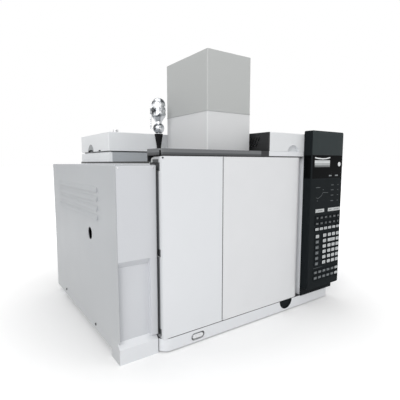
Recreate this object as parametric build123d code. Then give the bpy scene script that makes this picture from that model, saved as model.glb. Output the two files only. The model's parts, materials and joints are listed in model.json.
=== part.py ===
from build123d import *
import os
from math import acos, cos, degrees, pi, radians, sin, sqrt

# Bench-top gas chromatograph: a mainframe with a column oven behind a full-height door,
# an electronics bay and keypad panel on the right, a detector tower and a heated valve
# box on the recessed top deck, and a narrow accessory cabinet on the left.
#
# Layout axes while modelling, in millimetres: x = 0 at the left side of the mainframe,
# y = 0 at the front face of the oven door, z = 0 on the bench. Every piece is moved to
# the centre of the bounding box on the bench plane when it is written.

# ---------------------------------------------------------------- driving dimensions
SHEET = 1.5                 # folded sheet steel, most panels
SEAT_GAP = 0.3              # between parts of different bodies that rest on each other
FIT_GAP = 0.5               # clearance round a panel or cap in its aperture
BORE_GAP = 0.05             # radial running clearance of a shaft or pin in its bore

MAIN_W = 585.0              # mainframe width
MAIN_D = 540.0              # mainframe depth, door face to rear panel
FOOT_H = 8.0                # rubber foot height under the base pan
FOOT_R = 15.0
FOOT_INSET = 55.0           # foot centre from the pan edges
BASE_H = 31.6               # top of the base moulding
SKIRT_CLEAR = 3.0           # base moulding above the bench
SKIRT_WALL = 3.0
SKIRT_CORNER_R = 25.0

DECK_Z = 411.0              # recessed top deck
FRAME_Y = 42.0              # front bulkhead face behind the door
TRIM_Z0 = 423.0             # front deck trim
TRIM_Z1 = 437.0
TRIM_DEPTH = 54.0
TRIM_WALL = 3.0
TRIM_CORNER_R = 14.0

# oven door
DOOR_T = 40.0
DOOR_SIDE_GAP = 4.0         # door edge to the control panel flank
DOOR_GAP = 1.2              # above and below the door
DOOR_SKIN = 2.0
DOOR_LEFT_R = 6.0
DOOR_RIGHT_R = 22.0
DOOR_CORNER_R = 8.0         # door corners seen from the front
DOOR_SKIN_RETURN = 30.0     # how far the skins wrap back along the sides
GROOVE_X = 164.0
GROOVE_W = 3.0
STIFFENER_W = 18.0
GASKET_R = 10.0             # gasket band width round the oven mouth
GASKET_GAP = 2.0            # gasket band to the mouth
HINGE_X = 7.0               # hinge pin axis from the door's left edge
HINGE_Y = 7.0
HINGE_PIN_R = 2.5
HINGE_KNUCKLE_R = 5.0
HINGE_KNUCKLE_H = 16.0
HINGE_STRAP = 4.0
HINGE_FOOT_W = 20.0
HINGE_FOOT_T = 1.1
HINGE_HEIGHTS = (48.5, 221.0, 400.0)
HINGE_LUG_H = 6.0

# oven
OVEN_W = 280.0
OVEN_H = 310.0
OVEN_D = 200.0
LINER_T = 1.2
INSULATION_T = 32.0
BAFFLE_GAP = 38.0           # baffle plate in front of the oven's rear wall
BAFFLE_MARGIN = 14.0        # air gap round the baffle plate
BAFFLE_INLET_R = 55.0
STANDOFF_R = 4.0
FAN_R = 72.0
FAN_HUB_R = 12.0
FAN_WIDTH = 22.0
FAN_BLADES = 10
FAN_BLADE_T = 1.6
FAN_SHAFT_R = 4.0
FAN_CLEAR = 4.0             # fan to the baffle and the rear wall
MOTOR_R = 34.0
MOTOR_L = 58.0
MOTOR_FLANGE = 84.0
HEATER_RING_R = 92.0
HEATER_WIRE_R = 3.2
COLUMN_R = 84.0             # inside radius of the wound column
COLUMN_BUILD = 7.0          # radial build of the winding
COLUMN_WIDTH = 26.0
COLUMN_Y = 128.0            # middle of the winding behind the door face
CAGE_WIRE_R = 1.2
PEG_R = 2.5
PEG_X = 36.0

# oven vent flaps on the back of the oven
VENT_W = 70.0
VENT_H = 36.0
VENT_Z = (110.0, 330.0)     # intake and exhaust vent heights
VENT_OFF = 75.0             # vents to the right of the oven's middle
FLAP_T = 1.5
FLAP_OVERLAP = 5.0
FLAP_PIN_R = 2.0

# ports on the deck, from the oven's left wall
INLET_IN = 23.0
INLET_Y = 105.0
INLET_R = 12.0
INLET_TOP_Z = 424.0
SEPTUM_NUT_R = 10.0
SEPTUM_NUT_H = 9.0
INLET_FLANGE = 5.0          # port body outside its stem's hole
COLUMN_NUT_R = 5.0
BACK_PORT_IN = 33.0
BACK_PORT_Y = 222.0

# detector tower
TOWER_IN = 77.0             # tower from the oven's left wall
TOWER_W = 138.0
TOWER_Y0 = 60.0
TOWER_D = 194.0
TOWER_TOP_Z = 675.0
TOWER_SHEET = 1.2
TOWER_CORNER_R = 3.0
TOWER_VENT_ROWS = 9
TOWER_VENT_PITCH = 9.0
TOWER_VENT_IN = 25.0        # vent slots in from the tower's sides
TOWER_VENT_H = 3.2
BURNER_R = 22.0
BURNER_BASE_W = 64.0
BURNER_BASE_D = 52.0
BURNER_BASE_H = 46.0
BURNER_DROP = 60.0          # burner shoulder below the tower's top
BURNER_TIP_R = 14.0
BURNER_TIP_H = 20.0

# vent trap on the back port: a bright metal canister on a rubber boot
TRAP_R = 18.5
TRAP_RIB = 1.0              # ribs proud of the body
TRAP_RIB_H = 4.0
TRAP_GROOVE_R = 15.5        # groove under the domed cap
TRAP_NECK_R = 8.5
TRAP_BULB_R = 15.0
TRAP_Z0 = 485.0             # top of the boot
TRAP_BULB_H = 30.0
TRAP_CONE_H = 17.0
TRAP_BODY_H = 22.0
TRAP_GROOVE_H = 3.5
TRAP_CAP_H = 6.0
TRAP_DOME_H = 16.5
TRAP_STEM_L = 15.0          # stem inside the boot
VENT_TUBE_R = 1.5
VENT_TUBE_DX = 17.2         # vent tube beside the canister
VENT_TUBE_DY = 12.0
VENT_TUBE_L = 72.0
BOOT_TOP_R = 11.5
BOOT_WAIST_R = 6.0
BOOT_WAIST_Z0 = 441.0
BOOT_WAIST_Z1 = 453.0

# heated valve box
VALVE_W = 240.0
VALVE_Y0 = 282.0
VALVE_REAR_GAP = 10.0       # valve box in front of the rear face
VALVE_SPLIT_Z = 436.0
VALVE_LID_Z0 = 440.0
VALVE_LID_Z1 = 490.0
VALVE_SHEET = 2.0
VALVE_INSET = 8.0           # inner wall behind the outer wall
VALVE_ARCH_R = 11.0
VALVE_ARCH_BACK = 78.0      # arch in front of the box's rear
VALVE_SEAM_Y = 358.5        # joint in the tray's left side
VALVE_SEAM_W = 1.6
VALVE_SEAM_D = 0.8
THUMB_X = 34.0
THUMB_Y = 318.0
THUMB_HEAD_R = 7.5
THUMB_HEAD_H = 9.0
THUMB_SHANK_R = 2.0
THUMB_SHANK_L = 24.0
SAMPLE_VALVE_R = 27.0
SAMPLE_VALVE_H = 30.0
SAMPLE_PORT_R = 3.5
SAMPLE_PORT_L = 9.0
SAMPLE_PORT_Z = 18.0        # port fittings above the valve's foot
LOOP_R = 17.5
LOOP_TUBE_R = 1.6
ROTOR_R = 16.0
ROTOR_H = 12.0
ROTOR_SHAFT_R = 5.0
ROTOR_SHAFT_L = 20.0
LEVER_L = 40.0
LEVER_W = 10.0
LEVER_END_R = 6.0

# electronics bay and its hinged cover
BAY_IN = 5.0                # bay wall in from the panel's left edge
COVER_TOWER_GAP = 10.0      # cover to the detector tower
COVER_TOP_Z = 485.0
COVER_SHEET = 2.0
COVER_PIN_R = 2.5
COVER_PIN_UP = 10.0         # cover hinge axis above the bay walls
COVER_PIN_IN = 10.0         # cover hinge axis in front of the rear face
COVER_PIN_L = 10.0
COVER_EYE_R = 5.5
COVER_EYE_W = 9.0
COVER_EAR_T = 3.0
COVER_EAR_IN = 22.0         # hinge ears in from the cover's sides
COVER_EAR_DROP = 18.0
COVER_SETBACK = 2.0         # cover face set back behind the panel
FINGER_FROM_PANEL = 43.5    # crescent finger grip in the cover's front edge
FINGER_W = 46.0
FINGER_H = 17.0
FINGER_D = 12.0
VENT_SLOTS = 5
VENT_SLOT_Y = 40.0
VENT_SLOT_PITCH = 9.0
VENT_SLOT_W = 3.2
VENT_SLOT_H = 26.0

# slots in the right side panel
SIDE_SLOT_L = 70.0
SIDE_SLOT_H = 4.0
SIDE_SLOT_ROWS = 12
SIDE_SLOT_PITCH = 12.0
SIDE_SLOT_Z = 80.0
SIDE_SLOT_STEP = 90.0       # between the two columns
SIDE_SLOT_BACK = 48.5       # last slot end in front of the rear panel

# main board, power supply and pneumatics modules
BOARD_T = 1.6
BOARD_Y0 = 40.0
BOARD_D = 260.0
BOARD_Z0 = 60.0
BOARD_H = 340.0
BOARD_GAP = 10.0            # board to the right side panel
BOARD_POST_R = 3.5
BOARD_POST_IN = 11.0
PSU_W = 84.0
PSU_D = 160.0
PSU_H = 110.0
PSU_WALL = 2.0
PSU_SIDE_GAP = 12.0         # case to the bay wall
PSU_REAR_GAP = 38.5         # case to the rear panel
TOROID_R = 36.0
TOROID_HOLE_R = 10.0
TOROID_H = 44.0
EPC_COUNT = 3
EPC_IN = 18.0               # first module from the cover's left side
EPC_W = 30.0
EPC_PITCH = 36.0
EPC_D = 170.0
EPC_H = 50.0
EPC_REAR_GAP = 38.5
EPC_PORT_R = 5.0
EPC_PORT_H = 7.0

# control panel
PANEL_W = 141.5
PANEL_OVER = 1.5            # panel past the mainframe's right side
PANEL_Z0 = 54.0
PANEL_Z1 = 494.0
PANEL_PROUD = 25.7          # panel face in front of the door face
PANEL_WALL = 2.5
PANEL_R = 5.0
PLINTH_PROUD = 4.0          # black plinth under the panel
WINDOW_Z0 = 365.0
WINDOW_Z1 = 428.0
WINDOW_EDGE = 5.0
WINDOW_T = 2.0
LCD_IN = 14.0               # display from the panel's left edge
LCD_W = 67.0
LCD_Z0 = 393.0
LCD_Z1 = 420.0
LCD_T = 6.0
LCD_BOARD_EDGE = 8.0
LCD_BOARD_T = 1.6
LED_Z = 372.0
LED_A_IN = 79.0             # lamps from the panel's left edge
LED_A_W = 12.0
LED_B_IN = 107.0
LED_B_W = 14.0
LED_H = 3.6
LED_PROUD = 0.3
KEY_PROUD = 1.6             # keys in front of the panel face
KEY_TRAVEL = 1.2
KEY_STEM_R = 3.0
KEY_GAP = 0.4
KEY_BODY_T = 5.0
BIG_KEY_H = 9.5
BIG_KEY_Z = 275.0
KEY_STOP_IN = 24.5          # large keys from the panel's left edge
KEY_STOP_W = 37.0
KEY_PREP_IN = 80.5
KEY_PREP_W = 16.5
KEY_START_IN = 98.0
KEY_START_W = 39.0
CARRIER_T = 2.0
CARRIER_EDGE = 8.0
MAT_IN = 21.0               # keypad mat from the panel's left edge
MAT_W = 117.0
MAT_BACK = 0.8              # mat behind the panel face
MAT_PAD_EDGE = 10.0
MAT_Z0 = 73.0
MAT_Z1 = 262.5
MAT_T = 2.5
KEY_W = 15.5
KEY_H = 9.0
NUM_KEY_H = 11.0
KEY_COL_IN = 32.0           # first key column from the panel's left edge
KEY_COL_PITCH = 19.4
FN_COL_A_IN = 35.0          # the two function columns beside the number keys
FN_COL_B_IN = 68.0
KEY_ROW_PITCH = 16.0
UPPER_ROW_Z = 255.0
NUM_ROW_Z = 202.5
NUM_ROW_PITCH = 15.64
LOWER_ROW_Z = 99.0

# power push button and door latch button
SWITCH_X = 94.5
SWITCH_Z = 15.8
SWITCH_SLOT_W = 37.0
SWITCH_SLOT_H = 17.5
SWITCH_W = 28.0
SWITCH_H = 9.5
SWITCH_TRAVEL = 3.0
LATCH_IN = 53.0             # latch button from the door's free edge
LATCH_R = 24.0
LATCH_T = 10.0
LATCH_TRAVEL = 5.0
STEM_R = 4.0

# left accessory cabinet
CAB_GAP = 1.2               # cabinet to mainframe
CAB_W = 86.9
CAB_Y0 = 12.9
CAB_REAR_GAP = 4.0          # cabinet in front of the mainframe's rear face
CAB_TOP_Z = 404.0
CAB_EDGE_Z = 18.0           # lower edge of the side sheet
CAB_FOOT_D = 45.0           # depth of the front foot
CAB_FOOT_WALL = 3.0
CAB_OVERHANG_Z = 213.0
CAB_SLOPE = 14.0            # sloped underside of the upper front
CAB_RECESS = 12.0
CAB_SILL_Z = 32.0
CAB_STRIP_W = 14.0
CAB_FRONT_T = 2.5
LOUVRE_COUNT = 4
LOUVRE_Z = 289.5            # lowest louvre
LOUVRE_PITCH = 20.3
LOUVRE_Y0 = 120.0
LOUVRE_Y1 = 460.0
LOUVRE_H = 12.0
LOUVRE_PROUD = 3.0          # pressed out from the cabinet's side
LOUVRE_T = 1.2
CAB_HOLE_Y = 181.0
CAB_HOLE_Z = 244.8
CAB_HOLE_R = 14.5
CAB_SPACER_R = 9.0          # spacers between the cabinet and the mainframe

# cabinet cooling fan
COOLER = 80.0               # square fan frame
COOLER_D = 25.0
COOLER_Z = 110.0
COOLER_BORE_R = 37.0
COOLER_HUB_R = 16.0
COOLER_BLADES = 7

# rear fittings
FITTING_PROUD = 12.0
FITTING_R = 6.0
FITTING_Z = 380.0
FITTING_PITCH = 28.0
FITTING_COUNT = 6
FITTING_X0 = 60.0
INLET_PLUG_W = 50.0
INLET_PLUG_H = 28.0
INLET_PLUG_IN = 70.0        # inlet from the mainframe's right side
INLET_PLUG_Z = 75.0

# ---------------------------------------------------------------- derived places
CAB_X0 = -CAB_GAP - CAB_W
CAB_X1 = -CAB_GAP
CAB_XC = (CAB_X0 + CAB_X1) / 2
CAB_Y1 = MAIN_D - CAB_REAR_GAP

PANEL_X1 = MAIN_W + PANEL_OVER
PANEL_X0 = PANEL_X1 - PANEL_W
BAY_X0 = PANEL_X0 + BAY_IN

X_MIN = CAB_X0 - LOUVRE_PROUD
X_MAX = PANEL_X1
Y_MIN = -PANEL_PROUD - KEY_PROUD
Y_MAX = MAIN_D + FITTING_PROUD
TO_ORIGIN = Pos(-(X_MIN + X_MAX) / 2, -(Y_MIN + Y_MAX) / 2, 0)

PAN_FLOOR_Z = FOOT_H + SHEET
DECK_UNDER_Z = DECK_Z - SHEET
REAR_Y = MAIN_D - SHEET     # inner face of the rear panel
BULKHEAD_BACK_Y = FRAME_Y + SHEET

DOOR_X1 = PANEL_X0 - DOOR_SIDE_GAP
DOOR_Z0 = BASE_H + DOOR_GAP
DOOR_Z1 = TRIM_Z0 - DOOR_GAP

OVEN_X = BAY_X0 / 2         # middle of the oven
OVEN_X0 = OVEN_X - OVEN_W / 2
OVEN_X1 = OVEN_X + OVEN_W / 2
OVEN_ZC = (BASE_H + DECK_UNDER_Z) / 2
OVEN_Z0 = OVEN_ZC - OVEN_H / 2
OVEN_Z1 = OVEN_ZC + OVEN_H / 2
OVEN_BACK_Y = BULKHEAD_BACK_Y + OVEN_D
LINER_BACK_Y = OVEN_BACK_Y + LINER_T
INSULATION_BACK_Y = LINER_BACK_Y + INSULATION_T
BAFFLE_Y = OVEN_BACK_Y - BAFFLE_GAP

VENT_X = OVEN_X + VENT_OFF

INLET_X = OVEN_X0 + INLET_IN
BACK_PORT_X = OVEN_X0 + BACK_PORT_IN
TOWER_X0 = OVEN_X0 + TOWER_IN
TOWER_X1 = TOWER_X0 + TOWER_W
TOWER_Y1 = TOWER_Y0 + TOWER_D
VALVE_Y1 = MAIN_D - VALVE_REAR_GAP
VALVE_D = VALVE_Y1 - VALVE_Y0
VALVE_ARCH_Y = VALVE_Y1 - VALVE_ARCH_BACK
COVER_X0 = TOWER_X1 + COVER_TOWER_GAP
FINGER_X = PANEL_X0 - FINGER_FROM_PANEL
COVER_Z0 = TRIM_Z1 + SEAT_GAP
COVER_PIN_Y = MAIN_D - COVER_PIN_IN
COVER_PIN_Z = TRIM_Z1 + COVER_PIN_UP
PANEL_Y = -PANEL_PROUD      # panel face

LATCH_X = DOOR_X1 - LATCH_IN
INLET_PLUG_X = MAIN_W - INLET_PLUG_IN
LCD_X0 = PANEL_X0 + LCD_IN
LCD_X1 = LCD_X0 + LCD_W
LED_SPANS = ((PANEL_X0 + LED_A_IN, PANEL_X0 + LED_A_IN + LED_A_W),
             (PANEL_X0 + LED_B_IN, PANEL_X0 + LED_B_IN + LED_B_W))
MAT_X0 = PANEL_X0 + MAT_IN
MAT_X1 = MAT_X0 + MAT_W


# ---------------------------------------------------------------- shape helpers
def block(x0, x1, y0, y1, z0, z1):
    """Block between two corners."""
    return Pos((x0 + x1) / 2, (y0 + y1) / 2, (z0 + z1) / 2) * Box(x1 - x0, y1 - y0, z1 - z0)


def rod_x(x0, x1, y, z, radius):
    return Pos((x0 + x1) / 2, y, z) * Rot(0, 90, 0) * Cylinder(radius, x1 - x0)


def rod_y(y0, y1, x, z, radius):
    return Pos(x, (y0 + y1) / 2, z) * Rot(90, 0, 0) * Cylinder(radius, y1 - y0)


def rod_z(z0, z1, x, y, radius):
    return Pos(x, y, (z0 + z1) / 2) * Cylinder(radius, z1 - z0)


def plate_xz(outline, y0, y1):
    """Extrude a sketch drawn in x and z between two y values."""
    face = Plane.XZ * outline
    return Pos(0, y0, 0) * extrude(face, amount=y1 - y0, dir=(0, 1, 0))


def rounded_xz(x0, x1, z0, z1, radius, y0, y1):
    """Plate in the x-z plane with rounded corners."""
    outline = Pos((x0 + x1) / 2, (z0 + z1) / 2) * RectangleRounded(x1 - x0, z1 - z0, radius)
    return plate_xz(outline, y0, y1)


def ring_y(x, z, radius, wire, y):
    """Wire ring whose axis runs along y."""
    return Pos(x, y, z) * Rot(90, 0, 0) * Torus(radius, wire)


def spin_y(shape, x, z, angle):
    """Turn a shape about the y-parallel line through x, z."""
    return shape.rotate(Axis((x, 0, z), (0, 1, 0)), angle)


# ---------------------------------------------------------------- base
def base_pan():
    tray = block(0, MAIN_W, FRAME_Y, MAIN_D, FOOT_H, BASE_H)
    tray -= block(SHEET, MAIN_W - SHEET, FRAME_Y + SHEET, REAR_Y, PAN_FLOOR_Z, BASE_H + SHEET)
    for x, z in ((SWITCH_X, SWITCH_Z), (LATCH_X, latch_stem_z())):
        tray -= rod_y(FRAME_Y - SHEET, FRAME_Y + 2 * SHEET, x, z, STEM_R + BORE_GAP)
    return tray


def skirt_outline(inset):
    """Plan of the front base moulding, square at the back and round at the front corners."""
    radius = max(SKIRT_CORNER_R - inset, 1.0)
    x0, x1, y0, y1 = inset, MAIN_W - inset, inset, FRAME_Y
    with BuildLine() as line:
        Line((x0, y1), (x0, y0 + radius))
        RadiusArc((x0, y0 + radius), (x0 + radius, y0), -radius)
        Line((x0 + radius, y0), (x1 - radius, y0))
        RadiusArc((x1 - radius, y0), (x1, y0 + radius), -radius)
        Line((x1, y0 + radius), (x1, y1))
        Line((x1, y1), (x0, y1))
    return make_face(line.line)


def base_skirt():
    body = Pos(0, 0, SKIRT_CLEAR) * extrude(skirt_outline(0), amount=BASE_H - SKIRT_CLEAR)
    hollow_top = BASE_H - SKIRT_WALL
    body -= extrude(skirt_outline(SKIRT_WALL), amount=hollow_top)
    half_w = SWITCH_SLOT_W / 2
    half_h = SWITCH_SLOT_H / 2
    body -= rounded_xz(SWITCH_X - half_w, SWITCH_X + half_w, SWITCH_Z - half_h, SWITCH_Z + half_h,
                       half_h - 0.5, -1, SKIRT_WALL + 1)
    body -= latch_half_disc(LATCH_R + FIT_GAP, -1, LATCH_T + LATCH_TRAVEL + 2)
    return body


def rubber_feet():
    """Four identical feet under the mainframe."""
    places = [(x, y) for x in (FOOT_INSET, MAIN_W - FOOT_INSET)
              for y in (FRAME_Y + FOOT_INSET, MAIN_D - FOOT_INSET)]
    foot = rod_z(0, FOOT_H, 0, 0, FOOT_R)
    foot = chamfer(foot.edges().group_by(Axis.Z)[0], 1.5)
    return Compound(children=[Pos(x, y, 0) * foot for x, y in places])


# ---------------------------------------------------------------- push buttons in the base
def latch_stem_z():
    return BASE_H - LATCH_R / 2


def latch_half_disc(radius, y0, y1):
    disc = rod_y(y0, y1, LATCH_X, BASE_H, radius)
    return disc & block(LATCH_X - 2 * radius, LATCH_X + 2 * radius, y0 - 1, y1 + 1,
                        BASE_H - 2 * radius, BASE_H + 0.01)


def door_latch_button():
    cap = latch_half_disc(LATCH_R, 0, LATCH_T) & block(
        LATCH_X - LATCH_R, LATCH_X + LATCH_R, -1, LATCH_T + 1, 0, BASE_H - 0.4)
    dish = rod_y(-4, 1.2, LATCH_X, BASE_H - 4, LATCH_R - 6)
    cap -= dish & block(LATCH_X - LATCH_R, LATCH_X + LATCH_R, -5, 5, 0, BASE_H - 4)
    stem_back = FRAME_Y + SHEET + LATCH_TRAVEL + 4
    return cap + rod_y(LATCH_T, stem_back, LATCH_X, latch_stem_z(), STEM_R)


def power_switch():
    cap = rounded_xz(SWITCH_X - SWITCH_W / 2, SWITCH_X + SWITCH_W / 2,
                     SWITCH_Z - SWITCH_H / 2, SWITCH_Z + SWITCH_H / 2, SWITCH_H / 2 - 0.5,
                     0.6, LATCH_T)
    cap = fillet(cap.faces().sort_by(Axis.Y)[0].edges(), 0.8)
    stem_back = FRAME_Y + SHEET + SWITCH_TRAVEL + 4
    return cap + rod_y(LATCH_T, stem_back, SWITCH_X, SWITCH_Z, STEM_R)


# ---------------------------------------------------------------- mainframe sheet metal
def left_side_panel():
    return block(0, SHEET, BULKHEAD_BACK_Y, REAR_Y, BASE_H, DECK_UNDER_Z)


def right_side_panel():
    panel = block(MAIN_W - SHEET, MAIN_W, SHEET, REAR_Y, BASE_H, TRIM_Z1)
    for column in range(2):
        slot_y1 = REAR_Y - SIDE_SLOT_BACK - column * SIDE_SLOT_STEP
        for row in range(SIDE_SLOT_ROWS):
            z = SIDE_SLOT_Z + row * SIDE_SLOT_PITCH
            panel -= block(MAIN_W - 2 * SHEET, MAIN_W + SHEET, slot_y1 - SIDE_SLOT_L, slot_y1,
                           z - SIDE_SLOT_H / 2, z + SIDE_SLOT_H / 2)
    return panel


def rear_panel():
    """Rear sheet, stepped up behind the bay, with vents, apertures and cover hinge pins."""
    panel = block(0, MAIN_W, REAR_Y, MAIN_D, BASE_H, DECK_UNDER_Z)
    panel += block(COVER_X0, MAIN_W, REAR_Y, MAIN_D, DECK_UNDER_Z, TRIM_Z1)
    for z in VENT_Z:
        for row in range(5):
            slot_z = z + (row - 2) * 9.0
            panel -= block(VENT_X - VENT_W / 2, VENT_X + VENT_W / 2, REAR_Y - 1, MAIN_D + 1,
                           slot_z - 2.2, slot_z + 2.2)
    panel -= block(INLET_PLUG_X - INLET_PLUG_W / 2, INLET_PLUG_X + INLET_PLUG_W / 2,
                   REAR_Y - 1, MAIN_D + 1,
                   INLET_PLUG_Z - INLET_PLUG_H / 2, INLET_PLUG_Z + INLET_PLUG_H / 2)
    for x in fitting_places():
        panel -= rod_y(REAR_Y - 1, MAIN_D + 1, x, FITTING_Z, FITTING_R - 1.5)
    for x0, side in cover_ear_places():
        panel += cover_ear(x0, side)
    return panel


def cover_ear(x0, side):
    """Hinge ear with its pin; the neck stays clear of the cover's rear edge as it swings."""
    x1 = x0 + COVER_EAR_T
    neck_y0 = COVER_PIN_Y - COVER_EYE_R
    ear = rod_x(x0, x1, COVER_PIN_Y, COVER_PIN_Z, COVER_EYE_R)
    ear += block(x0, x1, neck_y0, COVER_PIN_Y + 1.5, TRIM_Z1 - COVER_EAR_DROP, COVER_PIN_Z)
    ear += block(x0, x1, neck_y0, REAR_Y, TRIM_Z1 - COVER_EAR_DROP, TRIM_Z1 - 2)
    pin_end = x1 + COVER_PIN_L if side > 0 else x0 - COVER_PIN_L
    return ear + rod_x(min(x0, pin_end), max(x1, pin_end), COVER_PIN_Y, COVER_PIN_Z, COVER_PIN_R)


def cover_ear_places():
    """Left edge of each hinge ear and the direction its pin points."""
    return ((COVER_X0 + COVER_EAR_IN, 1), (MAIN_W - COVER_EAR_IN - COVER_EAR_T, -1))


def front_bulkhead():
    plate = block(0, BAY_X0, FRAME_Y, BULKHEAD_BACK_Y, BASE_H, DECK_UNDER_Z)
    return plate - block(OVEN_X0, OVEN_X1, FRAME_Y - 1, BULKHEAD_BACK_Y + 1, OVEN_Z0, OVEN_Z1)


def electronics_bay_wall():
    """Folded sheet: the wall beside the oven and the front plate behind the panel."""
    wall = block(BAY_X0, BAY_X0 + SHEET, SHEET, REAR_Y, BASE_H, TRIM_Z1)
    front = block(BAY_X0, MAIN_W, 0, SHEET, BASE_H, TRIM_Z1)
    return wall + front


def top_deck():
    deck = block(0, BAY_X0, FRAME_Y, REAR_Y, DECK_UNDER_Z, DECK_Z)
    deck += block(0, COVER_X0, REAR_Y, MAIN_D, DECK_UNDER_Z, DECK_Z)
    deck += block(COVER_X0, COVER_X0 + SHEET, TRIM_DEPTH, REAR_Y, DECK_Z, TRIM_Z1)
    for x, y, radius in deck_ports():
        deck -= rod_z(DECK_UNDER_Z - 1, DECK_Z + 1, x, y, radius)
    return deck


def deck_ports():
    """Holes through the deck, the insulation and the oven roof."""
    return ((INLET_X, INLET_Y, INLET_R), (BACK_PORT_X, BACK_PORT_Y, INLET_R),
            (tower_x(), tower_port_y(), INLET_R))


def tower_x():
    return (TOWER_X0 + TOWER_X1) / 2


def tower_port_y():
    return TOWER_Y0 + TOWER_D / 2


def deck_trim():
    x1 = PANEL_X0 - 2
    front = TRIM_WALL
    shell = block(0, x1, 0, TRIM_DEPTH, TRIM_Z0, TRIM_Z1)
    shell = fillet(shell.edges().filter_by(Axis.Z).sort_by(
        lambda e: e.center().X + e.center().Y)[0], TRIM_CORNER_R)
    shell -= block(front, x1 - front, front, TRIM_DEPTH - front, TRIM_Z0 - 1, TRIM_Z1 - front)
    legs = block(0, x1, TRIM_DEPTH - front, TRIM_DEPTH, DECK_Z, TRIM_Z0)
    return shell + legs


# ---------------------------------------------------------------- oven
def oven_liner():
    box = block(OVEN_X0 - LINER_T, OVEN_X1 + LINER_T, BULKHEAD_BACK_Y, LINER_BACK_Y,
                OVEN_Z0 - LINER_T, OVEN_Z1 + LINER_T)
    box -= block(OVEN_X0, OVEN_X1, BULKHEAD_BACK_Y - 1, OVEN_BACK_Y, OVEN_Z0, OVEN_Z1)
    return box - oven_holes(OVEN_Z1 - 1, OVEN_BACK_Y - 1, LINER_BACK_Y + 1)


def oven_insulation():
    wool = block(OVEN_X0 - INSULATION_T, OVEN_X1 + INSULATION_T, BULKHEAD_BACK_Y,
                 INSULATION_BACK_Y, OVEN_Z0 - INSULATION_T, OVEN_Z1 + INSULATION_T)
    wool -= block(OVEN_X0 - LINER_T, OVEN_X1 + LINER_T, BULKHEAD_BACK_Y - 1, LINER_BACK_Y,
                  OVEN_Z0 - LINER_T, OVEN_Z1 + LINER_T)
    return wool - oven_holes(OVEN_Z1, LINER_BACK_Y - 1, INSULATION_BACK_Y + 1)


def oven_holes(z0, y0, y1):
    """Port holes upwards through the roof, shaft and vent holes through the back."""
    holes = rod_y(y0, y1, OVEN_X, OVEN_ZC, FAN_SHAFT_R + 2)
    for x, y, radius in deck_ports():
        holes += rod_z(z0, DECK_Z, x, y, radius)
    for z in VENT_Z:
        holes += block(VENT_X - VENT_W / 2, VENT_X + VENT_W / 2, y0, y1,
                       z - VENT_H / 2, z + VENT_H / 2)
    return holes


def fan_baffle():
    """Plate with a round inlet grille, on stand-offs, with two column pegs."""
    plate = block(OVEN_X0 + BAFFLE_MARGIN, OVEN_X1 - BAFFLE_MARGIN, BAFFLE_Y,
                  BAFFLE_Y + LINER_T, OVEN_Z0 + BAFFLE_MARGIN, OVEN_Z1 - BAFFLE_MARGIN)
    ring = rod_y(BAFFLE_Y - 5, BAFFLE_Y + 1, OVEN_X, OVEN_ZC, BAFFLE_INLET_R + 3)
    ring = chamfer(ring.faces().sort_by(Axis.Y)[0].edges(), 2.5)
    plate += ring
    plate -= rod_y(BAFFLE_Y - 6, BAFFLE_Y + 5, OVEN_X, OVEN_ZC, BAFFLE_INLET_R)
    for radius in (BAFFLE_INLET_R * 0.6, BAFFLE_INLET_R * 0.25):
        flat_ring = rod_y(BAFFLE_Y, BAFFLE_Y + LINER_T, OVEN_X, OVEN_ZC, radius + 1.5)
        plate += flat_ring - rod_y(BAFFLE_Y - 1, BAFFLE_Y + LINER_T + 1, OVEN_X, OVEN_ZC, radius - 1.5)
    reach = BAFFLE_INLET_R + 1
    for turn in range(2):
        bar = block(OVEN_X - reach, OVEN_X + reach, BAFFLE_Y, BAFFLE_Y + LINER_T,
                    OVEN_ZC - 1.5, OVEN_ZC + 1.5)
        plate += spin_y(bar, OVEN_X, OVEN_ZC, 90 * turn)
    for sx in (-1, 1):
        for sz in (-1, 1):
            x = OVEN_X + sx * (OVEN_W / 2 - BAFFLE_MARGIN - 10)
            z = OVEN_ZC + sz * (OVEN_H / 2 - BAFFLE_MARGIN - 10)
            plate += rod_y(BAFFLE_Y + LINER_T, OVEN_BACK_Y, x, z, STANDOFF_R)
        plate += rod_y(COLUMN_Y - COLUMN_WIDTH / 2 - 4, BAFFLE_Y, OVEN_X + sx * PEG_X, peg_z(), PEG_R)
        plate += rod_y(COLUMN_Y - COLUMN_WIDTH / 2 - 6, COLUMN_Y - COLUMN_WIDTH / 2 - 4,
                       OVEN_X + sx * PEG_X, peg_z(), PEG_R + 1.2)
    return plate


def cage_ring_r():
    return COLUMN_R - CAGE_WIRE_R


def peg_z():
    """Pegs carry the cage rings from inside, a seat gap below the wire."""
    inner = cage_ring_r() - CAGE_WIRE_R - PEG_R - SEAT_GAP
    return column_z() + sqrt(inner ** 2 - PEG_X ** 2)


def column_z():
    return OVEN_ZC


def column_cage():
    """Wire cage: two rings joined by flat cross bars."""
    half = COLUMN_WIDTH / 2
    cage = ring_y(OVEN_X, column_z(), cage_ring_r(), CAGE_WIRE_R, COLUMN_Y - half)
    cage += ring_y(OVEN_X, column_z(), cage_ring_r(), CAGE_WIRE_R, COLUMN_Y + half)
    for step in range(8):
        x_bar = OVEN_X + cage_ring_r()
        bar = block(x_bar - 0.8, x_bar + 0.5, COLUMN_Y - half, COLUMN_Y + half,
                    column_z() - 1.5, column_z() + 1.5)
        cage += spin_y(bar, OVEN_X, column_z(), 22.5 + 45 * step)
    return cage


def column_coil():
    """The wound column as one bundle on its cage."""
    half = COLUMN_WIDTH / 2 - CAGE_WIRE_R - 1
    outer = rod_y(COLUMN_Y - half, COLUMN_Y + half, OVEN_X, column_z(), COLUMN_R + COLUMN_BUILD)
    inner = rod_y(COLUMN_Y - half - 1, COLUMN_Y + half + 1, OVEN_X, column_z(), COLUMN_R + 0.2)
    coil = outer - inner
    return fillet(coil.edges(), 2.0)


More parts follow.
